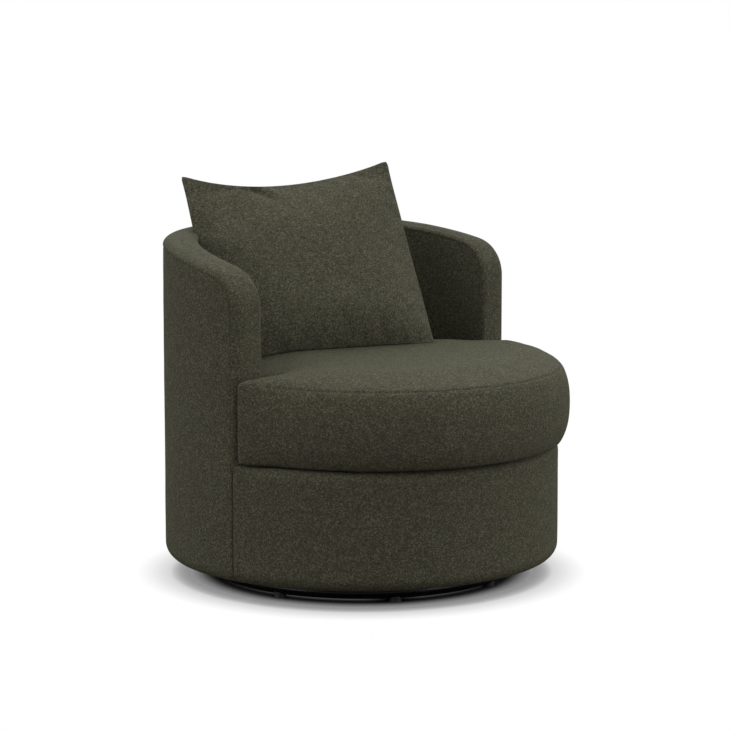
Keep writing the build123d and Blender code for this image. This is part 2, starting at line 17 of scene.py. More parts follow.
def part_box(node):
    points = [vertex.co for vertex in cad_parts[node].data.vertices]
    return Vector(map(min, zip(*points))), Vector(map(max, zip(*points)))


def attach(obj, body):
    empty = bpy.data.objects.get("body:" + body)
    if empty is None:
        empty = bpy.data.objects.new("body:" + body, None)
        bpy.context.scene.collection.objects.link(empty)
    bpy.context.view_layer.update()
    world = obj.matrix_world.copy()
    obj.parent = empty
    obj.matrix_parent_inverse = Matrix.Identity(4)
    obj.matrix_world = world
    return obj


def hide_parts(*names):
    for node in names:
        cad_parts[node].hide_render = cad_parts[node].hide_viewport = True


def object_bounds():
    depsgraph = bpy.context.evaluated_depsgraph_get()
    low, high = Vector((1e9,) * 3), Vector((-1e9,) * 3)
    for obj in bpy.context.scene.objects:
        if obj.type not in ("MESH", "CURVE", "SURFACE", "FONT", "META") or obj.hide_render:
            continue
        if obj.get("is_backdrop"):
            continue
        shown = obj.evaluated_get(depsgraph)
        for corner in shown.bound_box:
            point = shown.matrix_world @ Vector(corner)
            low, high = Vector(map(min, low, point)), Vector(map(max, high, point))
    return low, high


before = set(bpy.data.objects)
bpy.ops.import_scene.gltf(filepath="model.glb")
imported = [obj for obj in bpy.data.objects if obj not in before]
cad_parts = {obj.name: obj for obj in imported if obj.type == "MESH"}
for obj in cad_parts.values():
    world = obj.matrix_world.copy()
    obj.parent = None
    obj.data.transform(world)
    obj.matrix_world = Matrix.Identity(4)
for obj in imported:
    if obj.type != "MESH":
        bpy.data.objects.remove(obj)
cad_low, cad_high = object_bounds()

# %% [markdown]
# ## Sizes
# Every size of a cover comes from the node that it lies on, so the looks can't drift away from the
# frame. Only what a box can't tell, such as the radius of an arc, is written here as a named value.

# %% Sizes from the frame
outer_low, outer_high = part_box("outer_tub_cover")
band_low, band_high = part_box("rim_band")
drum_radius = outer_high.y
hem_drop = 0.005
drum_bottom = outer_low.z - hem_drop
seat_line = band_low.z
back_top = band_high.z
arm_front = band_low.y
side_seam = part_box("front_drum_cover")[1].y
tub_wall = 0.070
tub_inside = drum_radius - tub_wall
bottom_round = 0.026
deck_round = 0.020
deck_rise = 0.006
hem_width = 0.055
deck_lip = 0.070
rim_arc = 1.600
arm_corner = 0.080
cover_thickness = 0.0018

crest_y = drum_radius - tub_wall / 2
crest_z = back_top - rim_arc
corner_y = arm_front + arm_corner
corner_z = crest_z + math.sqrt((rim_arc - arm_corner) ** 2 - (corner_y - crest_y) ** 2)
meet_y = crest_y + (corner_y - crest_y) * rim_arc / (rim_arc - arm_corner)
print("drum radius", round(drum_radius, 4), "back top", round(back_top, 4), "arm corner", round(corner_z, 4))

# %% [markdown]
# ## Small tools for meshes
# A cover is a sheet: rows of points joined by four-sided faces. It could be drawn by hand and
# subdivided, but a formula for each row keeps the seams exactly where two covers meet. A solidify
# modifier then gives the sheet the thickness of the cloth, so that each cover is a closed form.


# %% Mesh helpers
def new_piece(name, points, faces):
    mesh = bpy.data.meshes.new(name)
    mesh.from_pydata([tuple(p) for p in points], [], faces)
    mesh.validate()
    mesh.shade_smooth()
    piece = bpy.data.objects.new(name, mesh)
    bpy.context.scene.collection.objects.link(piece)
    return piece


def sheet_faces(row_count, column_count, closed=False):
    """Four-sided faces between rows of points, and round to the first column if closed."""
    faces = []
    for row in range(row_count - 1):
        for column in range(column_count if closed else column_count - 1):
            after = (column + 1) % column_count
            low = row * column_count
            high = low + column_count
            faces.append((low + column, low + after, high + after, high + column))
    return faces


def sheet_piece(name, rows, outward, thickness):
    """A cloth sheet through rows of points, whose face looks along outward(point)."""
    faces = sheet_faces(len(rows), len(rows[0]))
    piece = new_piece(name, [p for row in rows for p in row], faces)
    middle = piece.data.polygons[len(faces) // 2]
    if middle.normal.dot(outward(middle.center)) < 0:
        piece.data.flip_normals()
    cloth = piece.modifiers.new("cloth_thickness", "SOLIDIFY")
    cloth.thickness = thickness
    cloth.offset = -1
    return piece


def cover_piece(name, columns, outward):
    """A fabric cover through columns of points that run from its upper edge to its lower one."""
    return sheet_piece(name, list(zip(*columns)), outward, cover_thickness)


def from_axis(point):
    return Vector((point.x, point.y, 0))


def toward_axis(point):
    return -from_axis(point)


def upward(point):
    return Vector((0, 0, 1))


def face_outward(piece):
    """Turns the faces of a closed piece so that they all look out."""
    shape = bmesh.new()
    shape.from_mesh(piece.data)
    bmesh.ops.recalc_face_normals(shape, faces=shape.faces)
    shape.to_mesh(piece.data)
    shape.free()


def soften(piece):
    """One level of subdivision, which rounds what the mesh only sketches."""
    finer = piece.modifiers.new("soften", "SUBSURF")
    finer.levels = finer.render_levels = 1


def dress(piece, body, slot, material, *nodes):
    """Gives a piece its finish, its body and the frame nodes that it stands for."""
    piece.data.materials.clear()
    piece.data.materials.append(material)
    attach(piece, body)
    if nodes:
        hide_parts(*nodes)
    print("made", piece.name, "with", len(piece.data.polygons), "faces on", body)
    return piece


def search_tree(places):
    """A tree that finds the nearest of some places."""
    tree = kdtree.KDTree(len(places))
    for i, place in enumerate(places):
        tree.insert(place, i)
    tree.balance()
    return tree


def smooth_step(low, high, value):
    share = min(max((value - low) / (high - low), 0), 1)
    return share * share * (3 - 2 * share)


def unevenness(point, size, seed):
    """Soft noise from -1 to 1, with lumps of about that size."""
    return noise.noise(Vector(point) / size + Vector((seed, 2 * seed, 3 * seed)))


# %% [markdown]
# ## Shader groups
# Several finishes share an effect: all the fabric has loops, the boards have grain, the cloths have a
# plain weave, and the metals have fine marks. Each effect is a node group that puts out colours,
# values and heights. The shader itself stays in each material, where its gloss is set.


# %% Node helpers
surface_outputs = {"Color": "Color", "Roughness": "Float", "Height": "Float"}


def add(tree, kind, inputs=None, **settings):
    """A new node with its settings and the values of its inputs."""
    made = tree.nodes.new(kind)
    for name, value in settings.items():
        setattr(made, name, value)
    for name, value in (inputs or {}).items():
        made.inputs[name].default_value = value
    return made


def new_group(name, inputs):
    """A node group with named inputs, the place on the object and the sockets of those inputs."""
    tree = bpy.data.node_groups.new(name, "ShaderNodeTree")
    for socket, value in inputs.items():
        kind = "Float" if isinstance(value, float) else "Color"
        made = tree.interface.new_socket(socket, in_out="INPUT", socket_type="NodeSocket" + kind)
        made.default_value = value
    for socket, kind in surface_outputs.items():
        tree.interface.new_socket(socket, in_out="OUTPUT", socket_type="NodeSocket" + kind)
    place = add(tree, "ShaderNodeTexCoord").outputs["Object"]
    return tree, place, add(tree, "NodeGroupInput").outputs


def put_out(tree, colour, roughness, height):
    """Joins the three results of a group to its end node."""
    result = add(tree, "NodeGroupOutput").inputs
    tree.links.new(colour, result["Color"])
    tree.links.new(roughness, result["Roughness"])
    tree.links.new(height, result["Height"])
    return tree


def texture(tree, kind, place, inputs=None, **settings):
    """A texture node that takes its place from a socket."""
    made = add(tree, "ShaderNodeTex" + kind, inputs, **settings)
    tree.links.new(place, made.inputs["Vector"])
    return made


def remap(tree, value, low, high, to_low=0.0, to_high=1.0):
    """Stretches a value from one range to another, clamped."""
    ends = {"From Min": low, "From Max": high, "To Min": to_low, "To Max": to_high}
    made = add(tree, "ShaderNodeMapRange", ends)
    tree.links.new(value, made.inputs["Value"])
    return made.outputs["Result"]


def arithmetic(tree, operation, first, second):
    """Adds, multiplies or otherwise joins two values, each a socket or a number."""
    made = add(tree, "ShaderNodeMath", operation=operation)
    for index, value in enumerate((first, second)):
        if isinstance(value, (int, float)):
            made.inputs[index].default_value = value
        else:
            tree.links.new(value, made.inputs[index])
    return made.outputs[0]


def blend_colours(tree, mask, first, second):
    """The first colour where the mask is 0, the second where it is 1."""
    made = add(tree, "ShaderNodeMix", data_type="RGBA")
    tree.links.new(mask, made.inputs[0])
    tree.links.new(first, made.inputs[6])
    tree.links.new(second, made.inputs[7])
    return made.outputs[2]


# %% [markdown]
# The chair's fabric is a looped tweed. Small round loops of uneven yarn stand up, and the gaps between
# them get a painted shade, darker than the loops. Here and there a lighter strand shows as a fleck. A cell
# texture makes the loops, because each cell is a rounded bump with its own random colour, and that colour
# picks which loops are flecks.

# %% Looped fabric group
yarn_wander = 0.0035
fleck_rise = 0.4


def looped_fabric_group():
    tree, place, source = new_group("looped_fabric", {
        "Loops per Metre": 480.0, "Yarn": (0.05, 0.05, 0.03, 1), "Fleck": (0.15, 0.15, 0.1, 1),
        "Gap Shade": (0.015, 0.015, 0.01, 1), "Fleck Share": 0.20})
    wander = texture(tree, "Noise", place, {"Scale": 160.0, "Detail": 2.0})
    shift = add(tree, "ShaderNodeVectorMath", operation="MULTIPLY_ADD")
    shift.inputs[1].default_value = (yarn_wander, yarn_wander, yarn_wander)
    tree.links.new(wander.outputs["Color"], shift.inputs[0])
    tree.links.new(place, shift.inputs[2])
    loops = texture(tree, "Voronoi", shift.outputs[0], feature="F1")
    tree.links.new(source["Loops per Metre"], loops.inputs["Scale"])
    split = add(tree, "ShaderNodeSeparateColor")
    tree.links.new(loops.outputs["Color"], split.inputs[0])
    pick, tone, gloss = split.outputs
    clumps = texture(tree, "Noise", place, {"Scale": 45.0, "Detail": 3.0})
    uneven = remap(tree, clumps.outputs["Fac"], 0.3, 0.7, -0.05, 0.05)
    raised = arithmetic(tree, "ADD", pick, source["Fleck Share"])
    fleck = remap(tree, arithmetic(tree, "ADD", raised, uneven), 0.85, 1.15)
    # Painted shade: the gaps between the loops are darkened towards the Gap Shade colour.
    between = remap(tree, loops.outputs["Distance"], 0.45, 0.85)
    shade = arithmetic(tree, "MAXIMUM", tone, between)
    colour = blend_colours(tree, shade, source["Yarn"], source["Gap Shade"])
    colour = blend_colours(tree, fleck, colour, source["Fleck"])
    roughness = remap(tree, gloss, 0.0, 1.0, 0.8, 0.98)
    bump = remap(tree, loops.outputs["Distance"], 0.1, 0.8, 1.0, 0.0)
    height = arithmetic(tree, "ADD", bump, arithmetic(tree, "MULTIPLY", fleck, fleck_rise))
    return put_out(tree, colour, roughness, height)


looped_fabric = looped_fabric_group()
print("group", looped_fabric.name)

# %% [markdown]
# The hidden boards, the lining cloths and the metals need simpler effects: a stretched noise for wood
# grain, two crossing sets of waves for a plain weave, and a fine noise for marks on metal.


# %% Grain, weave and metal groups
def grain_group():
    tree, place, source = new_group("wood_grain", {
        "Light": (0.6, 0.45, 0.3, 1), "Dark": (0.4, 0.3, 0.18, 1), "Fineness": 60.0})
    stretch = add(tree, "ShaderNodeMapping", {"Scale": (1.0, 0.12, 1.0)})
    tree.links.new(place, stretch.inputs["Vector"])
    streaks = texture(tree, "Noise", stretch.outputs[0], {"Detail": 6.0, "Distortion": 0.4})
    tree.links.new(source["Fineness"], streaks.inputs["Scale"])
    mask = remap(tree, streaks.outputs["Fac"], 0.35, 0.65)
    colour = blend_colours(tree, mask, source["Light"], source["Dark"])
    return put_out(tree, colour, remap(tree, mask, 0.0, 1.0, 0.55, 0.75), mask)


def weave_group():
    tree, place, source = new_group("plain_weave", {
        "Threads per Metre": 700.0, "Thread": (0.1, 0.1, 0.1, 1), "Gap": (0.02, 0.02, 0.02, 1)})
    ridges = []
    for direction in ("X", "Y"):
        wave = texture(tree, "Wave", place, {"Distortion": 0.6, "Detail": 1.0}, bands_direction=direction)
        tree.links.new(source["Threads per Metre"], wave.inputs["Scale"])
        ridges.append(wave.outputs["Fac"])
    height = arithmetic(tree, "MULTIPLY", *ridges)
    colour = blend_colours(tree, remap(tree, height, 0.0, 0.5), source["Gap"], source["Thread"])
    return put_out(tree, colour, remap(tree, height, 0.0, 1.0, 0.95, 0.75), height)


def metal_marks_group():
    tree, place, source = new_group("metal_marks", {
        "Clean": (0.5, 0.5, 0.5, 1), "Dull": (0.35, 0.35, 0.34, 1), "Smoothest": 0.25, "Roughest": 0.5})
    cloud = texture(tree, "Noise", place, {"Scale": 38.0, "Detail": 5.0})
    grit = texture(tree, "Noise", place, {"Scale": 900.0, "Detail": 2.0})
    mask = remap(tree, cloud.outputs["Fac"], 0.38, 0.68)
    colour = blend_colours(tree, mask, source["Clean"], source["Dull"])
    span = arithmetic(tree, "SUBTRACT", source["Roughest"], source["Smoothest"])
    roughness = arithmetic(tree, "ADD", source["Smoothest"], arithmetic(tree, "MULTIPLY", span, mask))
    return put_out(tree, colour, roughness, grit.outputs["Fac"])


wood_grain = grain_group()
plain_weave = weave_group()
metal_marks = metal_marks_group()
print("groups", wood_grain.name, plain_weave.name, metal_marks.name)

# %% [markdown]
# ## Finishes
# Each material is one shader fed by one group. What is the same all over, such as metal or sheen, is
# set on the shader's own sockets, and what changes over the surface comes from the group.


# %% Materials
def finish(name, group, inputs, bump_depth, bump_strength=0.6, **shader_values):
    material = bpy.data.materials.new(name)
    material.use_nodes = True
    tree = material.node_tree
    shader = tree.nodes["Principled BSDF"]
    for socket, value in shader_values.items():
        shader.inputs[socket.replace("_", " ")].default_value = value
    effect = add(tree, "ShaderNodeGroup", node_tree=group)
    for socket, value in inputs.items():
        effect.inputs[socket].default_value = value
    bump = add(tree, "ShaderNodeBump", {"Distance": bump_depth, "Strength": bump_strength})
    tree.links.new(effect.outputs["Color"], shader.inputs["Base Color"])
    tree.links.new(effect.outputs["Roughness"], shader.inputs["Roughness"])
    tree.links.new(effect.outputs["Height"], bump.inputs["Height"])
    tree.links.new(bump.outputs["Normal"], shader.inputs["Normal"])
    return material


def grey(level):
    return (level, level, level, 1)


# Gap Shade is a painted shade for the gaps between the loops, darker than the yarn.
olive = {
    "Yarn": (0.086, 0.085, 0.056, 1), "Fleck": (0.122, 0.122, 0.085, 1), "Gap Shade": (0.040, 0.037, 0.024, 1)}
dull_nap = {
    "Sheen_Weight": 0.05, "Sheen_Roughness": 0.4, "Sheen_Tint": (0.75, 0.8, 0.55, 1),
    "Specular_IOR_Level": 0.12}
loop_depth = 0.0012
olive_boucle = finish("olive_boucle", looped_fabric, olive, loop_depth, **dull_nap)
pillow_yarn = {**olive, "Loops per Metre": 460.0}
pillow_boucle = finish("pillow_boucle", looped_fabric, pillow_yarn, loop_depth, **dull_nap)
black_steel = finish(
    "black_steel", metal_marks,
    {"Clean": grey(0.003), "Dull": grey(0.006), "Smoothest": 0.2, "Roughest": 0.32},
    bump_depth=0.0001, bump_strength=0.15, Specular_IOR_Level=0.3)
zinc_steel = finish(
    "zinc_steel", metal_marks,
    {"Clean": (0.58, 0.58, 0.56, 1), "Dull": (0.42, 0.42, 0.4, 1), "Smoothest": 0.3, "Roughest": 0.5},
    bump_depth=0.0001, bump_strength=0.2, Metallic=1.0)
bearing_steel = finish(
    "bearing_steel", metal_marks,
    {"Clean": grey(0.78), "Dull": grey(0.66), "Smoothest": 0.08, "Roughest": 0.18},
    bump_depth=0.00005, bump_strength=0.1, Metallic=1.0)
black_nylon = finish(
    "black_nylon", metal_marks,
    {"Clean": grey(0.02), "Dull": grey(0.032), "Smoothest": 0.4, "Roughest": 0.55},
    bump_depth=0.0002, bump_strength=0.3)
birch_plywood = finish(
    "birch_plywood", wood_grain,
    {"Light": (0.62, 0.47, 0.3, 1), "Dark": (0.47, 0.33, 0.19, 1)},
    bump_depth=0.0003, bump_strength=0.3)
brown_hardboard = finish(
    "brown_hardboard", wood_grain,
    {"Light": (0.34, 0.23, 0.14, 1), "Dark": (0.25, 0.16, 0.09, 1), "Fineness": 260.0},
    bump_depth=0.0002, bump_strength=0.3)
jute_webbing = finish(
    "jute_webbing", plain_weave,
    {"Threads per Metre": 420.0, "Thread": (0.5, 0.42, 0.27, 1), "Gap": (0.2, 0.15, 0.09, 1)},
    bump_depth=0.0006)
black_cloth = finish(
    "black_cloth", plain_weave, {"Thread": grey(0.022), "Gap": grey(0.006)}, bump_depth=0.0004)
zip_tape = finish(
    "zip_tape", plain_weave,
    {"Threads per Metre": 900.0, "Thread": (0.035, 0.038, 0.026, 1), "Gap": (0.01, 0.011, 0.008, 1)},
    bump_depth=0.0003)
print("finishes:", len(bpy.data.materials))

# %% [markdown]
# ## The line of the rim
# Seen from the side, the top of the tub is a long shallow arc from the back that turns down over a
# round corner into the upright front of each arm. Seen from above, the tub is a ring. A station is a
# place along that line, and a point of any cover is given by its station, its radius and its drop
# below the line. That lets the outside, the band and the inside share their seams exactly.

# %% Stations along the rim
front_steps = 26
corner_steps = 18
rim_steps = 48
arm_foot = 0.006


def share_of_way(y):
    """How far round from the arm front to the middle of the back, in the middle of the wall."""
    start = math.asin(arm_front / crest_y)
    return (math.asin(min(y / crest_y, 1)) - start) / (math.pi / 2 - start)


def half_rim(with_front):
    """Stations from an arm front to the back: height below the corner's centre, and share of the way."""
    stations = []
    if with_front:
        foot = seat_line - arm_foot - corner_z
        stations += [(foot * (1 - i / front_steps), 0.0) for i in range(front_steps)]
    turn = math.acos((corner_y - meet_y) / arm_corner)
    for i in range(corner_steps + 1):
        stations.append((0.0, share_of_way(corner_y - arm_corner * math.cos(turn * i / corner_steps))))
    last = stations[-1][1]
    stations += [(0.0, last + (1 - last) * (i + 1) / rim_steps) for i in range(rim_steps)]
    return stations


def rim_point(station, radius, drop):
    """A point of the +X half, at a station, on a radius, some way inside the rim line."""
    lift, share = station
    start = math.asin(arm_front / radius)
    angle = start + share * (math.pi / 2 - start)
    y = radius * math.sin(angle)
    if y < meet_y:
        centre_y, centre_z, size = corner_y, corner_z, arm_corner
    else:
        centre_y, centre_z, size = crest_y, crest_z, rim_arc
    rise = math.sqrt(max(size**2 - (y - centre_y) ** 2, 0))
    z = centre_z + rise + lift - drop * rise / size
    y += drop * (centre_y - y) / size * math.cos(angle)
    return Vector((math.sqrt(max(radius**2 - y**2, 0)), y, z))


def mirrored(point):
    return Vector((-point.x, point.y, point.z))


def whole_rim(columns):
    """Columns of points of the +X half, from front to back, joined to their mirror image."""
    return [[mirrored(p) for p in column] for column in columns] + columns[-2::-1]


def rim_drop(y, z):
    """How far a point of a wall lies inside the rim line, in side view."""
    if z < corner_z:
        return y - arm_front
    if y < meet_y:
        return arm_corner - math.hypot(y - corner_y, z - corner_z)
    return rim_arc - math.hypot(y - crest_y, z - crest_z)


outer_seam_drop = 0.016
inner_seam_drop = 0.008
print("stations in half the rim:", len(half_rim(True)))

# %% [markdown]
# ## Seams
# At a plain seam both covers are turned in, so the seam shows as a fine groove with a soft shoulder.
# The groove could be painted, but then it would vanish from the side. So each cover's edge dips a few
# millimetres into the wall, and close to it the stitches draw the cloth into faint puckers.

# %% Seam shape
tuck_depth = 0.0036
inner_tuck_depth = 0.0016
tuck_width = 0.0018
shoulder_depth = 0.0006
shoulder_width = 0.010
stitch_pitch = 0.011
pucker = 0.3


def seam_dip(distance, along, tuck=tuck_depth):
    """How far a cover dips at a distance from its seam, at a place along the seam."""
    dip = tuck * math.exp(-distance / tuck_width)
    pull = 1 - pucker + pucker * math.cos(2 * math.pi * along / stitch_pitch)
    return dip + shoulder_depth * pull * math.exp(-((distance / shoulder_width) ** 2))


rows_by_seam = [0.0, 0.0007, 0.0015, 0.0026, 0.004, 0.0065, 0.010, 0.016, 0.025]


def spaced(first, last, count):
    """Evenly spaced values after first, up to last."""
    return [first + (last - first) * (i + 1) / count for i in range(count)]


print("seam groove", tuck_depth * 1000, "mm deep")

# %% [markdown]
# ## Outside cover of the tub
# One wide piece of fabric goes round the outside, from the seam along the rim down to the hem under
# the drum. Each column of its mesh starts at the seam, runs down the wall, turns round the lower edge
# and ends at the hem. Soft noise keeps the wall from looking like a turned cylinder.

# %% Lower edge of the drum
wall_rows = 40
round_rows = 9
hem_rows = 4
side_low = drum_bottom + bottom_round
broad_lump = 0.0007
broad_size = 0.16
small_lump = 0.00035
small_size = 0.045


def lower_edge():
    """Down round the lower edge and in to the hem, as radius and height."""
    flat = drum_radius - bottom_round
    turns = spaced(0, math.pi / 2, round_rows)
    edge = [(flat + bottom_round * math.cos(a), side_low - bottom_round * math.sin(a)) for a in turns]
    return edge + [(r, drum_bottom) for r in spaced(flat, drum_radius - hem_width, hem_rows)]


def outer_swell(point):
    """Uneven fill behind the outside fabric."""
    broad = broad_lump * unevenness(point, broad_size, seed=3)
    return broad + small_lump * unevenness(point, small_size, seed=7)


def at_radius(angle, radius, z):
    return Vector((radius * math.cos(angle), radius * math.sin(angle), z))


print("rows round the lower edge:", len(lower_edge()))


# %% Outside cover
def wall_column(station, radius, low, seam_drop, tuck, outward, fill):
    """The angle of a column, and its points from the seam down a wall that looks out (1) or in (-1)."""
    top = rim_point(station, radius, seam_drop)
    angle = math.atan2(top.y, top.x)
    heights = [top.z - d for d in rows_by_seam]
    heights += spaced(heights[-1], low, wall_rows)
    column = []
    for z in heights:
        point = at_radius(angle, radius, z)
        from_seam = max(rim_drop(point.y, z) - seam_drop, 0)
        dip = seam_dip(from_seam, z + radius * angle, tuck) - fill(point)
        column.append(at_radius(angle, radius - outward * dip, z))
    return angle, column


def outer_column(station):
    angle, column = wall_column(
        station, drum_radius, side_low, outer_seam_drop, tuck_depth, 1, outer_swell)
    from_side = max(drum_radius * math.sin(angle) - side_seam, 0)
    for radius, z in lower_edge():
        dip = seam_dip(from_side, z) * smooth_step(drum_bottom, side_low, z)
        column.append(at_radius(angle, radius - dip, z + dip * (drum_radius - radius) / bottom_round))
    return column


columns = whole_rim([outer_column(s) for s in half_rim(False)])
outside_cover = cover_piece("outside_cover", columns, from_axis)
dress(outside_cover, "chair", "olive_boucle", olive_boucle, "outer_tub_cover", "outer_tub_foam")

# %% [markdown]
# ## Band along the rim
# A strip of fabric is boxed between two seams, over the rim and down both arm fronts. It wraps the
# outer edge softly and the inner edge more tightly. Its section is two quarter ellipses with a low
# crown between them, swept along the stations. The arm fronts are flatter, where the cushion meets them.

# %% Rim band
outer_edge_width = 0.030
inner_edge_width = 0.013
band_crown = 0.0025
crown_start = 0.12
band_lump = 0.0006
band_lump_size = 0.07
band_lump_start = 0.1
edge_softness = 0.02
edge_rows = 9
crown_rows = 10
# Each turned-in row: its share of the seam's depth, and how far past the seam it lies.
band_tuck = [(1.0, 0.0028), (0.4, 0.0018), (0.1, 0.0006)]


def band_section(crown):
    """Inset from the outer wall and drop below the rim line, from seam to seam."""
    outer, inner = [], []
    for beta in [math.pi / 2 * i / edge_rows for i in range(edge_rows + 1)]:
        across = 1 - math.cos(beta)
        down = 1 - math.sin(beta)
        outer.append((outer_edge_width * across, outer_seam_drop * down))
        inner.append((tub_wall - inner_edge_width * across, inner_seam_drop * down))
    outer_tuck = [(k * tuck_depth, outer_seam_drop + d) for k, d in band_tuck]
    inner_tuck = [(tub_wall - k * inner_tuck_depth, inner_seam_drop + d) for k, d in reversed(band_tuck)]
    flat = tub_wall - outer_edge_width - inner_edge_width
    shares = [(i + 1) / (crown_rows + 1) for i in range(crown_rows)]
    middle = [(outer_edge_width + flat * k, -crown * math.sin(math.pi * k)) for k in shares]
    return outer_tuck + outer + middle + inner[::-1] + inner_tuck


def band_column(station):
    crown = band_crown * smooth_step(0.0, crown_start, station[1])
    lump = band_lump * smooth_step(0.0, band_lump_start, station[1])
    column = []
    for inset, drop in band_section(crown):
        point = rim_point(station, drum_radius - inset, drop)
        softness = smooth_step(0.0, edge_softness, inset) * smooth_step(0.0, edge_softness, tub_wall - inset)
        rise = lump * softness * unevenness(point, band_lump_size, seed=11)
        column.append(point + Vector((0, 0, rise)))
    return column


columns = whole_rim([band_column(s) for s in half_rim(True)])
band = cover_piece("rim_band_cover", columns, upward)
dress(band, "chair", "olive_boucle", olive_boucle, "rim_band", "rim_pad")

# %% [markdown]
# ## Inside cover of the tub
# The inside fabric hangs from the inner seam of the band down behind the cushion, where it is tucked
# between the tub and the deck. It is made like the outside cover, facing the other way.

# %% Inside cover
tuck_under = 0.010
inner_lump = 0.0006
inner_lump_size = 0.12
inner_lump_start = 0.05


def inner_swell(point):
    """Uneven padding of the inside, too little to touch the cushion as it is lifted out."""
    below_rim = smooth_step(0.0, inner_lump_start, rim_drop(point.y, point.z))
    return inner_lump * below_rim * unevenness(point, inner_lump_size, seed=5)


def inner_column(station):
    angle, column = wall_column(
        station, tub_inside, seat_line, inner_seam_drop, inner_tuck_depth, -1, inner_swell)
    for depth in (tuck_under / 2, tuck_under):
        column.append(at_radius(angle, tub_inside + depth, seat_line - depth))
    return column


columns = whole_rim([inner_column(s) for s in half_rim(False)])
inside_cover = cover_piece("inside_cover", columns, toward_axis)
dress(inside_cover, "chair", "olive_boucle", olive_boucle, "inside_tub_cover", "inner_tub_foam")

# %% [markdown]
# ## Front cover of the drum
# Under the cushion, the front of the drum has its own panel, sewn to the outside cover at an upright
# seam on each side. It turns in under the drum like the outside cover, and its top rolls over the
# front edge of the deck.

# %% Front drum cover
drum_columns = 110
lip_rows = 6
lip_overlap = 0.004
end_roll = 0.25
roll_reach = 0.07
lump_reach = 0.03
turn_width = 0.02


def drum_section(roll):
    """From the deck lip over the front edge, down and under to the hem, as radius and height."""
    shoulder = drum_radius - roll
    top = seat_line + deck_rise
    lip = [(r, top) for r in spaced(drum_radius - deck_lip - lip_overlap, shoulder, lip_rows)]
    turns = spaced(math.pi / 2, 0, round_rows)
    over = [(shoulder + roll * math.cos(a), top - roll + roll * math.sin(a)) for a in turns]
    side = [(drum_radius, z) for z in spaced(over[-1][1], side_low, wall_rows // 2)]
    return lip + over + side + lower_edge()


def drum_column(share, from_end):
    """A column of the front panel at a share of the way round it, some way from its nearest seam."""
    roll = deck_round * (end_roll + (1 - end_roll) * smooth_step(0.0, roll_reach, from_end))
    column = []
    for radius, z in drum_section(roll):
        start = math.asin(side_seam / radius)
        angle = start - share * (math.pi + 2 * start)
        point = at_radius(angle, radius, z)
        dip = seam_dip(from_end, z) * smooth_step(drum_bottom, side_low, z)
        fill = outer_swell(point) * smooth_step(0.0, lump_reach, from_end)
        upright = smooth_step(drum_radius - turn_width, drum_radius, radius)
        lower = (1 - upright) * (1 if z > side_low else -1)
        column.append(at_radius(angle, radius - (dip - fill) * upright, z - dip * lower))
    return column


panel_length = drum_radius * (math.pi + 2 * math.asin(side_seam / drum_radius))
ends = rows_by_seam + spaced(rows_by_seam[-1], panel_length / 2, drum_columns // 2)
shares = [(d / panel_length, d) for d in ends] + [(1 - d / panel_length, d) for d in reversed(ends[:-1])]
columns = [drum_column(*s) for s in shares]
drum_cover = cover_piece("front_drum_panel_cover", columns, from_axis)
dress(drum_cover, "chair", "olive_boucle", olive_boucle, "front_drum_cover", "front_drum_foam")

# %% [markdown]
# ## Deck cloth and dust cloth
# Two plain cloths finish the chair where nobody looks: one over the felt of the deck, under the
# cushion, and one under the bottom board. Each is a stretched sheet with a slight sag between its
# edges, made as rings of points about the swivel axis.

# %% Cloth sheets
cloth_columns = 120
cloth_rows = 26
sheet_thickness = 0.0008
deck_tuck = 0.002
deck_turn = -0.1
deck_sink = 0.0005
deck_sag = 0.004
dust_sag = 0.002
sag_lumps = 0.3
sag_lump_size = 0.06
merge_distance = 0.00005


def deck_reach(angle):
    """How far the deck cloth goes from the axis: into the tub, or out to the front lip."""
    in_tub = math.sin(angle) > deck_turn
    return tub_inside + deck_tuck if in_tub else drum_radius - deck_lip + lip_overlap


def ring_sheet(name, reach, inner, height, sag):
    """A flat sheet round the axis, which sags between its edges."""
    rows = []
    for k in [i / cloth_rows for i in range(cloth_rows + 1)]:
        soft = math.sin(math.pi * k) if inner > 0 else math.cos(math.pi / 2 * k)
        row = []
        for i in range(cloth_columns + 1):
            angle = 2 * math.pi * i / cloth_columns
            radius = inner + (reach(angle) - inner) * k
            lumps = sag_lumps * unevenness(at_radius(angle, radius, 0), sag_lump_size, seed=9)
            row.append(at_radius(angle, radius, height - sag * soft * (1 + lumps)))
        rows.append(row)
    piece = sheet_piece(name, rows, upward, sheet_thickness)
    shape = bmesh.new()
    shape.from_mesh(piece.data)
    bmesh.ops.remove_doubles(shape, verts=shape.verts, dist=merge_distance)
    shape.to_mesh(piece.data)
    shape.free()
    return piece


deck = ring_sheet("deck_lining", deck_reach, 0.0, seat_line + deck_rise - deck_sink, deck_sag)
dress(deck, "chair", "black_cloth", black_cloth, "deck_cloth", "deck_felt")

dust_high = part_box("dust_cloth")[1]
spacer_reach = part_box("swivel_spacer")[1].xy.length
dust = ring_sheet("dust_lining", lambda angle: dust_high.x, spacer_reach, dust_high.z, dust_sag)
dress(dust, "chair", "black_cloth", black_cloth, "dust_cloth")

# %% [markdown]
# ## Swelling a cushion
# A filled cushion is tight cloth round something that pushes out. Blender's cloth solver does exactly
# that: the seams are pinned where they belong, pressure swells the panels between them, and gravity is
# off. How far a point may go is capped, so that the cushion keeps to the space the frame gives it.


# %% Cloth pressure
def coordinates(mesh):
    flat = np.empty(len(mesh.vertices) * 3, np.float32)
    mesh.vertices.foreach_get("co", flat)
    return flat.reshape(-1, 3).astype(float)


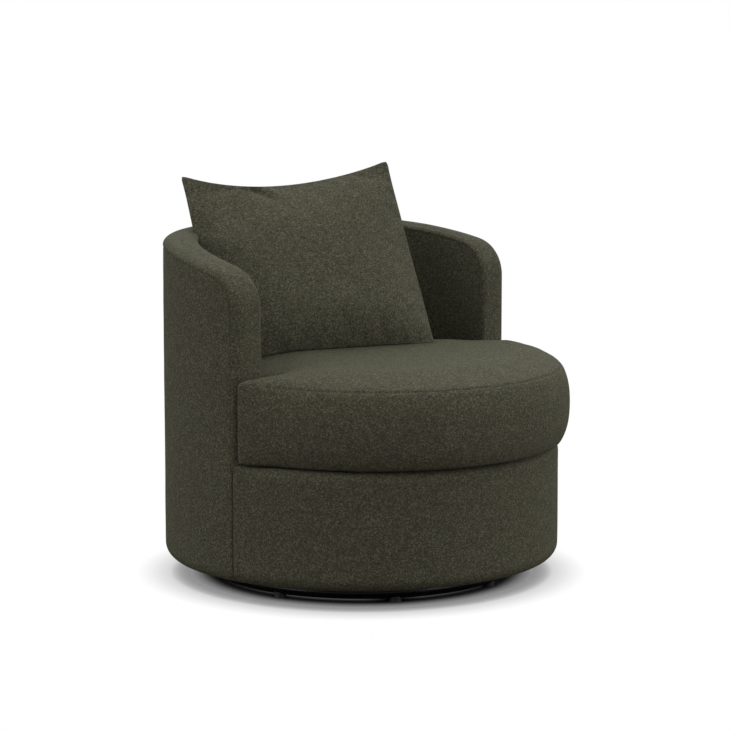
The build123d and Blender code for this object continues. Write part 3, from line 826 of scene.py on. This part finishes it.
def swell(piece, pinned, pressure, cap, slack=0.0, frames=20):
    """Blows a closed mesh up between its pinned points, and leaves the result in its mesh."""
    scene = bpy.context.scene
    pins = piece.vertex_groups.new(name="pins")
    pins.add(pinned, 1.0, "REPLACE")
    cloth = piece.modifiers.new("swell", "CLOTH")
    cloth.settings.quality = 6
    cloth.settings.mass = 0.25
    cloth.settings.tension_stiffness = 12
    cloth.settings.compression_stiffness = 12
    cloth.settings.shear_stiffness = 6
    cloth.settings.bending_stiffness = 0.6
    cloth.settings.vertex_group_mass = "pins"
    cloth.settings.shrink_min = -slack
    cloth.settings.use_pressure = True
    cloth.settings.uniform_pressure_force = pressure
    cloth.settings.effector_weights.gravity = 0
    cloth.point_cache.frame_start = 1
    cloth.point_cache.frame_end = frames
    start = coordinates(piece.data)
    for number in range(1, frames + 1):
        scene.frame_set(number)
    evaluated = piece.evaluated_get(bpy.context.evaluated_depsgraph_get())
    moved = coordinates(evaluated.data) - start
    piece.modifiers.remove(cloth)
    piece.vertex_groups.remove(pins)
    scene.frame_set(1)
    length = np.linalg.norm(moved, axis=1)
    share = np.minimum(1, cap / np.maximum(length, 1e-9))
    piece.data.vertices.foreach_set("co", (start + moved * share[:, None]).ravel())
    piece.data.update()
    print(piece.name, "swelled by up to", round(float((length * share).max()) * 1000, 1), "mm")


# %% [markdown]
# ## Seat cushion
# The cushion is T-shaped: a round front that fills the drum's width and overhangs it, and a tongue that
# fits back into the tub. It has a top panel, a boxing and a bottom panel. The boxing is a grid round
# the outline, and the panels are filled with evenly spaced points, so the cloth can swell evenly.

# %% Outline of the cushion
cushion_low, cushion_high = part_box("seat_cushion_cover")
zip_low, zip_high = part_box("seat_cushion_zip")
cushion_front_radius = 0.393
cushion_centre = cushion_low.y + cushion_front_radius
arm_clearance = 0.0015
ear_y = arm_front - arm_clearance
tongue_radius = cushion_high.y
foot_z = cushion_low.z + deck_rise
boxing_height = 0.157
seam_z = foot_z + boxing_height
crown_height = 0.026
front_shoulder = 0.10
tongue_shoulder = 0.20
tongue_blend = 0.10
shoulder_power = 3
corner_softness = 0.0045
ear_fill = 0.013
left_ear_lift = 0.006
right_ear_lift = -0.007
ear_reach = 0.040
cloth_step = 0.010
fine_steps = 5
edge_clear = 0.65


def arc_points(centre_y, radius, start, end, count):
    turns = [start + (end - start) * i / count for i in range(count)]
    return [(radius * math.cos(a), centre_y + radius * math.sin(a)) for a in turns]


def line_points(first, last, count):
    return [tuple(np.array(first) + (np.array(last) - first) * i / count) for i in range(count)]


def softened(points):
    """A closed outline with its corners eased, thinned to one point for each step of the cloth."""
    line = np.array(points)
    offsets = np.arange(-3 * fine_steps, 3 * fine_steps + 1)
    weights = np.exp(-0.5 * (offsets * cloth_step / fine_steps / corner_softness) ** 2)
    soft = sum(w * np.roll(line, -o, axis=0) for w, o in zip(weights / weights.sum(), offsets))
    return soft[::fine_steps]


def cushion_outline(draw):
    """Outline of the cushion, drawn in by some depth on every side."""
    front = cushion_front_radius - draw
    tongue = tongue_radius - draw
    step_y = ear_y - draw
    ear = math.asin((step_y - cushion_centre) / front)
    neck = math.asin(step_y / tongue)
    ear_x = front * math.cos(ear)
    neck_x = tongue * math.cos(neck)
    points = arc_points(cushion_centre, front, -math.pi - ear, ear, front_count * fine_steps)
    points += line_points((ear_x, step_y), (neck_x, step_y), ear_count * fine_steps)
    points += arc_points(0.0, tongue, neck, math.pi - neck, tongue_count * fine_steps)
    points += line_points((-neck_x, step_y), (-ear_x, step_y), ear_count * fine_steps)
    line = softened(points)
    away = np.hypot(np.abs(line[:, 0]) - ear_x, line[:, 1] - step_y)
    by_ear = np.exp(-((away / ear_reach) ** 2))
    line[:, 0] += np.sign(line[:, 0]) * (ear_fill + draw) * by_ear
    line[:, 1] += draw * by_ear
    return line


front_count = round(math.pi * cushion_front_radius / cloth_step)
tongue_count = round(math.pi * tongue_radius / cloth_step)
ear_count = round((cushion_front_radius - tongue_radius) / cloth_step)
outline = cushion_outline(0.0)
print("cushion outline:", len(outline), "points")

# %% [markdown]
# The panels need points that are spread evenly, or the solver makes stars where they crowd. So points
# are laid out in a honeycomb, those too near the edge are left out, and a triangulation joins the rest
# to the outline.


# %% Panels of the cushion
def inside_outline(line, points):
    """Which points lie inside a closed outline."""
    x, y = points[:, 0], points[:, 1]
    within = np.zeros(len(points), bool)
    for (x0, y0), (x1, y1) in zip(line, np.roll(line, -1, axis=0)):
        crosses = (y0 > y) != (y1 > y)
        edge = x0 + (y - y0) * (x1 - x0) / (y1 - y0 if y1 != y0 else 1e-12)
        within ^= crosses & (x < edge)
    return within


def panel_fill(line, step):
    """Points in a honeycomb inside an outline, and the triangles that join them to it."""
    low, high = line.min(axis=0), line.max(axis=0)
    cells = []
    for i, y in enumerate(np.arange(low[1], high[1], step * math.sqrt(0.75))):
        across = np.arange(low[0] + step / 2 * (i % 2), high[0], step)
        cells.append(np.stack([across, np.full_like(across, y)], axis=1))
    points = np.vstack(cells)
    near = search_tree([(x, y, 0) for x, y in line])
    clear = np.array([near.find((x, y, 0))[2] > edge_clear * step for x, y in points])
    points = points[clear & inside_outline(line, points)]
    everything = [Vector(p) for p in np.vstack([line, points])]
    edges = [(i, (i + 1) % len(line)) for i in range(len(line))]
    _, _, faces, source, _, _ = geometry.delaunay_2d_cdt(everything, edges, [], 1, 1e-7)
    depths = [near.find((x, y, 0))[2] for x, y in points]
    return np.column_stack([points, depths]), [tuple(source[i][0] for i in face) for face in faces]


def crown_at(distance, y):
    """Height of the crown above the seam: full close to the front seam, slower in the tongue."""
    front = (1 - (1 - min(distance / front_shoulder, 1)) ** shoulder_power) ** (1 / shoulder_power)
    tongue = 1 - (1 - min(distance / tongue_shoulder, 1)) ** 2
    return crown_height * (front + (tongue - front) * smooth_step(ear_y, ear_y + tongue_blend, y))


def ear_lift(x, y):
    """How much higher or lower than the rest the cushion is filled at an ear."""
    away = math.hypot(abs(x) - cushion_front_radius, y - ear_y)
    return (left_ear_lift if x < 0 else right_ear_lift) * math.exp(-((away / ear_reach) ** 2))


# %% Seat cushion
boxing_rows = 14
seam_draw = 0.013
foot_draw = 0.013
boxing_bulge = 0.004
foot_lift = 0.004
start_share = 0.74


def cushion_mesh():
    """Closed form of the cushion, a little slack, with the point numbers of its two seams."""
    count = len(outline)
    points, faces = [], sheet_faces(boxing_rows + 1, count, closed=True)
    for level in [i / boxing_rows for i in range(boxing_rows + 1)]:
        draw = (foot_draw if level < 0.5 else seam_draw) * abs(2 * level - 1) ** 3
        bulge = boxing_bulge * (1 - (2 * level - 1) ** 2)
        ring = cushion_outline(draw + boxing_bulge - bulge)
        height = foot_z + foot_lift + level * (boxing_height - foot_lift)
        points += [(x, y, height + level**2 * ear_lift(x, y)) for x, y in ring]
    foot_loop = list(range(count))
    seam_loop = list(range(boxing_rows * count, (boxing_rows + 1) * count))
    for loop, is_top in ((seam_loop, True), (foot_loop, False)):
        line = np.array([points[i][:2] for i in loop])
        inner, triangles = panel_fill(line, cloth_step)
        first = len(points)
        for x, y, depth in inner:
            crown = start_share * crown_at(depth, y) + ear_lift(x, y)
            points.append((x, y, seam_z + crown if is_top else foot_z))
        number = loop + list(range(first, len(points)))
        faces += [tuple(number[i] for i in (t if is_top else t[::-1])) for t in triangles]
    return points, faces, foot_loop, seam_loop


points, faces, foot_loop, seam_loop = cushion_mesh()
cushion = new_piece("seat_cushion", points, faces)
face_outward(cushion)
swell(cushion, foot_loop + seam_loop, pressure=4.0, cap=0.008)
cushion_top = max(v.co.z for v in cushion.data.vertices)
print("seat cushion:", len(points), "points, top at", round(cushion_top, 4))

# %% [markdown]
# Afterwards the cushion is held to the room that it has: flat on the deck, and against the arms and the
# back of the tub. Then the top seam gets its groove. The edges of the seam are bevelled, which gives a
# narrow strip on each side of it, and the points in the middle are pushed in.

# %% Fitting and seam of the cushion
all_axes = {"use_axis_x": True, "use_axis_y": True, "use_axis_z": True}
groove_reach = 0.55


def hold_in_place(piece):
    """Keeps the cushion off the deck, the arm fronts and the tub."""
    for vertex in piece.data.vertices:
        x, y, z = vertex.co
        radius = math.hypot(x, y)
        beyond = radius - tongue_radius
        if y > ear_y and beyond > y - ear_y:
            y = ear_y
        elif y > ear_y and beyond > 0:
            x, y = x * tongue_radius / radius, y * tongue_radius / radius
        vertex.co = (x, y, max(z, foot_z))


def ease(piece, kept, passes):
    """Evens out the small waves that the solver leaves, with some points kept where they are."""
    shape = bmesh.new()
    shape.from_mesh(piece.data)
    held = set(kept)
    free = [v for v in shape.verts if v.index not in held]
    for _ in range(passes):
        bmesh.ops.smooth_vert(shape, verts=free, factor=0.5, **all_axes)
    shape.to_mesh(piece.data)
    shape.free()


def groove_seam(piece, loop, depth, width):
    """Presses a fine groove along a loop of the mesh's points."""
    near = search_tree([piece.data.vertices[i].co.copy() for i in loop])
    shape = bmesh.new()
    shape.from_mesh(piece.data)
    shape.verts.ensure_lookup_table()
    chosen = set(loop)
    edges = [e for e in shape.edges if e.verts[0].index in chosen and e.verts[1].index in chosen]
    bmesh.ops.bevel(
        shape, geom=edges, offset=width, segments=2, profile=0.5, affect="EDGES", clamp_overlap=True)
    shape.normal_update()
    pressed = 0
    for vertex in shape.verts:
        if near.find(vertex.co)[2] < width * groove_reach:
            vertex.co -= vertex.normal * depth
            pressed += 1
    shape.to_mesh(piece.data)
    shape.free()
    piece.data.shade_smooth()
    print(piece.name, "seam points pressed in:", pressed)


ease(cushion, kept=range(seam_loop[-1] + 1), passes=5)
hold_in_place(cushion)
groove_seam(cushion, seam_loop, depth=0.0044, width=0.0026)
soften(cushion)
dress(cushion, "seat_cushion", "olive_boucle", olive_boucle, "seat_cushion_cover", "seat_cushion_core")

# %% [markdown]
# ## Zip of the cushion
# The cover comes off by a zip in the back of the boxing, where the tub hides it. Its tape is a curved
# strip, and a row of small teeth stands along each side of its middle line, with a slider at one end.

# %% Zip
zip_radius = (zip_high.y + tongue_radius) / 2
zip_middle = (zip_low.z + zip_high.z) / 2
zip_half = zip_high.z - zip_middle
zip_spread = math.asin(zip_high.x / zip_radius)
tape_steps = 60
tape_gap = 0.0002
tape_middle = 0.0022
tooth_pitch = 0.003
tooth_side = 0.0009
tooth_size = Vector((0.0016, 0.0007, 0.0022))
slider_size = Vector((0.011, 0.0008, 0.008))
slider_gap = 0.0003
slider_place = 0.96
block_taper = 0.7


def add_block(points, faces, turn, gap, height, size):
    """An eight-cornered block on the back of the boxing, some way round, with its far face smaller."""
    place = Matrix.Rotation(turn, 4, "Z") @ Matrix.Translation((0, tongue_radius + gap, height))
    first = len(points)
    for y, shrink in ((0, 1.0), (size.y, block_taper)):
        for x, z in ((-1, -1), (1, -1), (1, 1), (-1, 1)):
            points.append(place @ Vector((x * size.x / 2 * shrink, y, z * size.z / 2 * shrink)))
    sides = [(i, (i + 1) % 4, 4 + (i + 1) % 4, 4 + i) for i in range(4)]
    faces += [tuple(first + i for i in face) for face in [(3, 2, 1, 0), (4, 5, 6, 7), *sides]]


def zip_piece():
    tape_rows = (-zip_half, -tape_middle, 0.0, tape_middle, zip_half)
    turns = [math.pi / 2 + zip_spread * (2 * i / tape_steps - 1) for i in range(tape_steps + 1)]
    points = []
    for z in tape_rows:
        points += [at_radius(a, tongue_radius + tape_gap, zip_middle + z) for a in turns]
    faces = sheet_faces(len(tape_rows), len(turns))
    count = int(2 * zip_spread * zip_radius / tooth_pitch)
    for i in range(count):
        turn = zip_spread * (2 * (i + 0.5) / count - 1)
        side = tooth_side if i % 2 else -tooth_side
        add_block(points, faces, turn, tape_gap, zip_middle + side, tooth_size)
    add_block(points, faces, slider_place * zip_spread, slider_gap, zip_middle, slider_size)
    return new_piece("cushion_zip", points, faces)


zip_strip = dress(zip_piece(), "seat_cushion", "zip_tape", zip_tape, "seat_cushion_zip")
zip_strip.data.shade_flat()

# %% [markdown]
# ## Throw pillow
# The pillow is two square panels sewn together at a knife edge. Its sides draw in between four pointed
# corners, and it leans back on the rim of the tub. The panels share the points of the edge, which is
# pinned while the pressure swells them. A slack upper corner gets the short crease that it has.

# %% Pillow panels
pillow_low, pillow_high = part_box("pillow_cover")
pillow_width = 0.452
pillow_height = 0.410
pillow_thickness = 0.140
top_dip = 0.016
foot_dip = -0.010
side_dip = -0.003
top_sag = 0.020
sag_lean = 0.3
tip_radius = 0.013
tip_flare = 0.004
foot_spread = 0.006
foot_flare = 0.016
edge_power = 2.6
foot_power = 5.0
fullness = 0.72
settling = 0.16
edge_crowding = 0.35
pillow_yaw = -25.5
pillow_lean = 30.3
pillow_roll = 2.4
pillow_place = (
    Matrix.Translation((pillow_low + pillow_high) / 2)
    @ Matrix.Rotation(math.radians(pillow_yaw), 4, "Z")
    @ Matrix.Rotation(math.radians(90 - pillow_lean), 4, "X")
    @ Matrix.Rotation(math.radians(pillow_roll), 4, "Z")
)
pillow_steps = 80
pillow_start = 0.62


def pillow_plan(u, v):
    """A point of the flat panel, for u and v from -1 to 1, with rounded tips and a slack upper edge."""
    x, y = u * pillow_width / 2, v * pillow_height / 2
    in_x = abs(x) - pillow_width / 2 + tip_radius
    in_y = abs(y) - pillow_height / 2 + tip_radius
    if in_x > 0 and in_y > 0:
        cut = 1 - max(in_x, in_y) / math.hypot(in_x, in_y)
        x -= math.copysign(in_x * cut, x)
        y -= math.copysign(in_y * cut, y)
    sag = top_sag * (1 - u * u) * (1 - sag_lean * u) * smooth_step(0.0, 1.0, v)
    dip = top_dip if v > 0 else foot_dip
    flare = tip_flare * (abs(u) * max(v, 0)) ** 8
    x += math.copysign(flare, u) - u * side_dip * (1 - v * v) + u * foot_spread * max(-v, 0)
    y += math.copysign(flare, v) - v * dip * (1 - u * u) - sag
    y -= foot_flare * abs(u) ** 3 * max(-v, 0) ** 4
    return x, y


def pillow_swell(u, v):
    """Half the thickness of the filled pillow: full in the middle, thin at edges and corners."""
    settled = 1 - settling * v
    fall = edge_power if v > 0 else foot_power
    full = (1 - abs(u) ** edge_power) * (1 - abs(v) ** fall)
    return settled * pillow_thickness / 2 * full**fullness


def pillow_mesh():
    """Two panels that share the points of their edge, with the numbers of the points to pin."""
    ways = [2 * i / pillow_steps - 1 for i in range(pillow_steps + 1)]
    values = [math.sin(math.pi / 2 * w) * edge_crowding + (1 - edge_crowding) * w for w in ways]
    ends = (0, pillow_steps)
    by_tip = (0, 1, 2, pillow_steps - 2, pillow_steps - 1, pillow_steps)
    points, number, faces, pinned = [], {}, [], []
    for side in (1, -1):
        for i, u in enumerate(values):
            for j, v in enumerate(values):
                on_edge = i in ends or j in ends
                if on_edge and side < 0:
                    number[i, j, side] = number[i, j, 1]
                    continue
                number[i, j, side] = len(points)
                if on_edge or (i in by_tip and j in by_tip):
                    pinned.append(len(points))
                x, y = pillow_plan(u, v)
                points.append((x, y, 0 if on_edge else side * pillow_start * pillow_swell(u, v)))
    corners = ((0, 0), (1, 0), (1, 1), (0, 1))
    for side in (1, -1):
        for i in range(pillow_steps):
            for j in range(pillow_steps):
                face = tuple(number[i + a, j + b, side] for a, b in corners)
                faces.append(face[::side])
    edge = {n for (i, j, side), n in number.items() if i in ends or j in ends}
    return points, faces, edge, pinned


print("pillow panels:", pillow_steps, "steps each way, leaning", pillow_lean, "degrees")

# %% Throw pillow
crease_start = np.array((-0.094, 0.182))
crease_end = np.array((-0.040, 0.118))
crease_depth = 0.017
crease_width = 0.008
crease_fade = 0.6
ridge_height = 0.4
ridge_place = 2.2
thin_edge = 0.006
hollow_place = np.array((-0.150, 0.115))
hollow_depth = 0.016
hollow_size = 0.060
rest_gap = 0.0008


def fold_in(piece):
    """Presses the crease and the hollow of the slack upper corner into the front of the pillow."""
    run = crease_end - crease_start
    across = np.array((-run[1], run[0])) / np.linalg.norm(run)
    for vertex in piece.data.vertices:
        place = np.array(vertex.co[:2])
        along = float(np.clip(np.dot(place - crease_start, run) / np.dot(run, run), 0, 1))
        off = np.linalg.norm(place - crease_start - along * run) / crease_width
        above = np.dot(place - crease_start, across) > 0
        ridge = ridge_height * math.exp(-((off - ridge_place) ** 2)) if above else 0.0
        press = crease_depth * (1 - along) ** crease_fade * (math.exp(-off) - ridge)
        press += hollow_depth * math.exp(-((np.linalg.norm(place - hollow_place) / hollow_size) ** 2))
        if vertex.co.z > 0:
            vertex.co.z -= press * min(vertex.co.z / thin_edge, 1)


def rest_on(piece, carrier):
    """Flattens a piece where it would sink into the top of what carries it."""
    carried = [v.co for v in carrier.data.vertices]
    top = BVHTree.FromPolygons(carried, [tuple(p.vertices) for p in carrier.data.polygons])
    for vertex in piece.data.vertices:
        hit = top.ray_cast(Vector((vertex.co.x, vertex.co.y, 1)), Vector((0, 0, -1)))[0]
        if hit:
            vertex.co.z = max(vertex.co.z, hit.z + rest_gap)


points, faces, edge, pinned = pillow_mesh()
pillow = new_piece("throw_pillow", points, faces)
swell(pillow, pinned, pressure=4.0, cap=0.030, slack=0.02)
ease(pillow, kept=pinned, passes=3)
fold_in(pillow)
pillow.data.transform(pillow_place)
rest_on(pillow, cushion)
pinch = pillow.data.attributes.new("crease_edge", "FLOAT", "EDGE")
for line in pillow.data.edges:
    pinch.data[line.index].value = 1.0 if set(line.vertices) <= edge else 0.0
soften(pillow)
dress(pillow, "pillow", "olive_boucle", pillow_boucle, "pillow_cover", "pillow_insert")

# %% [markdown]
# ## Base ring
# The chair stands on a ring of bent steel tube with a powder coat. The frame's own ring is drawn with
# flats, so a smooth tube is turned here in its place, as circles round a circle.

# %% Base ring
ring_low, ring_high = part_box("base_ring")
tube_radius = (ring_high.z - ring_low.z) / 2
ring_radius = ring_high.x - tube_radius
ring_z = (ring_low.z + ring_high.z) / 2
ring_steps = 160
tube_steps = 28


def ring_tube():
    points = []
    for i in range(ring_steps):
        angle = 2 * math.pi * i / ring_steps
        for j in range(tube_steps):
            turn = 2 * math.pi * j / tube_steps
            radius = ring_radius + tube_radius * math.cos(turn)
            points.append(at_radius(angle, radius, ring_z + tube_radius * math.sin(turn)))
    faces = sheet_faces(ring_steps, tube_steps, closed=True)
    last = (ring_steps - 1) * tube_steps
    for j in range(tube_steps):
        after = (j + 1) % tube_steps
        faces.append((last + j, last + after, after, j))
    return new_piece("base_ring_tube", points, faces)


base_ring = ring_tube()
face_outward(base_ring)
dress(base_ring, "base", "black_steel", black_steel, "base_ring")

# %% [markdown]
# ## Finishes of the frame
# The rest of the frame keeps its own shapes and gets its finishes. Each finish is listed with the nodes
# that wear it.

# %% Finishes of the frame nodes
frame_finishes = {
    black_steel: ["cross_arm_long", "cross_arm_halves", "lower_swivel_plate"],
    zinc_steel: ["lower_plate_bolts", "lower_plate_nuts", "king_bolt", "king_washer", "king_nut",
                 "upper_swivel_plate", "upper_plate_bolts", "tee_nuts"],
    bearing_steel: ["bearing_balls"],
    black_nylon: ["floor_glides", "ball_cage"],
    birch_plywood: ["swivel_spacer", "bottom_board", "base_posts", "deck_ring", "top_rail",
                    "arm_front_frame_left", "arm_front_frame_right", "tub_uprights"],
    brown_hardboard: ["front_drum_panel", "outer_tub_panel", "inner_tub_panel"],
    jute_webbing: ["seat_webbing"],
}
for material, names in frame_finishes.items():
    for name in names:
        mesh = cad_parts[name].data
        mesh.materials.clear()
        mesh.materials.append(material)
print("frame nodes finished:", sum(len(names) for names in frame_finishes.values()))

# %% [markdown]
# ## Floor, light and camera
# A pale floor runs far back, so no horizon shows. The camera sees it white, with a soft dark edge where
# the chair comes close to it, and the chair is lit as if it stood on a dull one. That could be a lit
# white floor, but it would throw far more light up under the drum than the photograph has. Four suns
# with wide discs stand for soft boxes above, behind and on both sides, with a weak sky all round. The
# camera stands well back with a long lens, a little above the seat, to one side.

# %% Floor and light
floor_size = 60.0
near_reach = 0.04
near_power = 4.0
wide_reach = 0.08
wide_power = 0.75
dull_floor = (0.13, 0.115, 0.105, 1)
white = (1, 1, 1, 1)
sky_strength = 0.38


def part_seen(tree, output, other, seen):
    """Gives camera rays one shader and all other rays another."""
    path = add(tree, "ShaderNodeLightPath")
    choice = add(tree, "ShaderNodeMixShader")
    tree.links.new(path.outputs["Is Camera Ray"], choice.inputs[0])
    tree.links.new(other.outputs[0], choice.inputs[1])
    tree.links.new(seen.outputs[0], choice.inputs[2])
    tree.links.new(choice.outputs[0], tree.nodes[output].inputs["Surface"])


def openness(tree, reach, power):
    """How free the floor is of anything within reach, from 0 to 1, sharpened by a power."""
    free = add(tree, "ShaderNodeAmbientOcclusion", {"Distance": reach}, samples=16)
    return arithmetic(tree, "POWER", free.outputs["AO"], power)


corners = [(-1, -1), (1, -1), (1, 1), (-1, 1)]
floor = new_piece("floor", [(x * floor_size, y * floor_size, 0) for x, y in corners], [(0, 1, 2, 3)])
floor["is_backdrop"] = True
floor_material = bpy.data.materials.new("pale_floor")
floor_material.use_nodes = True
floor_tree = floor_material.node_tree
floor_tree.nodes.remove(floor_tree.nodes["Principled BSDF"])
# The floor glows for the camera, and near_shade and wide_shade paint a contact shadow into that glow where
# the chair comes close.
near_shade = openness(floor_tree, near_reach, near_power)
wide_shade = openness(floor_tree, wide_reach, wide_power)
floor_glow_with_painted_shadow = add(floor_tree, "ShaderNodeEmission")
floor_tree.links.new(arithmetic(floor_tree, "MULTIPLY", near_shade, wide_shade), floor_glow_with_painted_shadow.inputs["Color"])
felt_floor = add(floor_tree, "ShaderNodeBsdfDiffuse", {"Color": dull_floor})
part_seen(floor_tree, "Material Output", felt_floor, floor_glow_with_painted_shadow)
floor.data.materials.append(floor_material)

world = bpy.data.worlds.new("studio")
world.use_nodes = True
sky = world.node_tree
sky.nodes["Background"].inputs["Color"].default_value = white
sky.nodes["Background"].inputs["Strength"].default_value = sky_strength
seen_sky = add(sky, "ShaderNodeBackground", {"Color": white, "Strength": 1.0})
part_seen(sky, "World Output", sky.nodes["Background"], seen_sky)
bpy.context.scene.world = world


def soft_sun(name, azimuth, elevation, spread, strength):
    """An even light from one side of the sky, as soft as its spread in degrees."""
    lamp = bpy.data.lights.new(name, "SUN")
    lamp.angle = math.radians(spread)
    lamp.energy = strength
    holder = bpy.data.objects.new(name, lamp)
    a, e = math.radians(azimuth), math.radians(elevation)
    toward = Vector((math.sin(a) * math.cos(e), -math.cos(a) * math.cos(e), math.sin(e)))
    holder.rotation_euler = toward.to_track_quat("Z", "Y").to_euler()
    bpy.context.scene.collection.objects.link(holder)


soft_sun("overhead", azimuth=-35, elevation=78, spread=80, strength=0.56)
soft_sun("from_behind", azimuth=133, elevation=50, spread=60, strength=1.25)
soft_sun("left_side", azimuth=-120, elevation=18, spread=70, strength=1.45)
soft_sun("right_side", azimuth=35, elevation=18, spread=70, strength=1.9)
bpy.context.scene.view_settings.view_transform = "Standard"
print("floor and light made")

# %% Camera
camera_azimuth = math.radians(-47)
camera_elevation = math.radians(8.6)
camera_distance = 6.0
aim_height = 0.422
aim_side = 0.007
photo_side = 730
focal_pixels = 2956

camera = bpy.data.cameras.new("camera")
camera.sensor_width = 36.0
camera.lens = focal_pixels * camera.sensor_width / photo_side
camera.clip_end = 200.0
eye = bpy.data.objects.new("camera", camera)
aside = Vector((math.cos(camera_azimuth), math.sin(camera_azimuth), 0))
level = Vector((math.sin(camera_azimuth), -math.cos(camera_azimuth), 0))
back = level * math.cos(camera_elevation) + Vector((0, 0, math.sin(camera_elevation)))
eye.location = Vector((0, 0, aim_height)) + aside * aim_side + back * camera_distance
eye.rotation_euler = (-back).to_track_quat("-Z", "Y").to_euler()
bpy.context.scene.collection.objects.link(eye)
bpy.context.scene.camera = eye
print("lens", round(camera.lens, 1), "mm")

# %% [markdown]
# ## Size of the dressed chair
# The box of the dressed chair is written beside the box of the bare frame, to see that the fabric
# hasn't grown out of it.

# %% Finish
look_low, look_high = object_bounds()
frame_size = [round(v, 4) for v in cad_high - cad_low]
look_size = [round(v, 4) for v in look_high - look_low]
print("frame box", frame_size, "dressed", look_size)
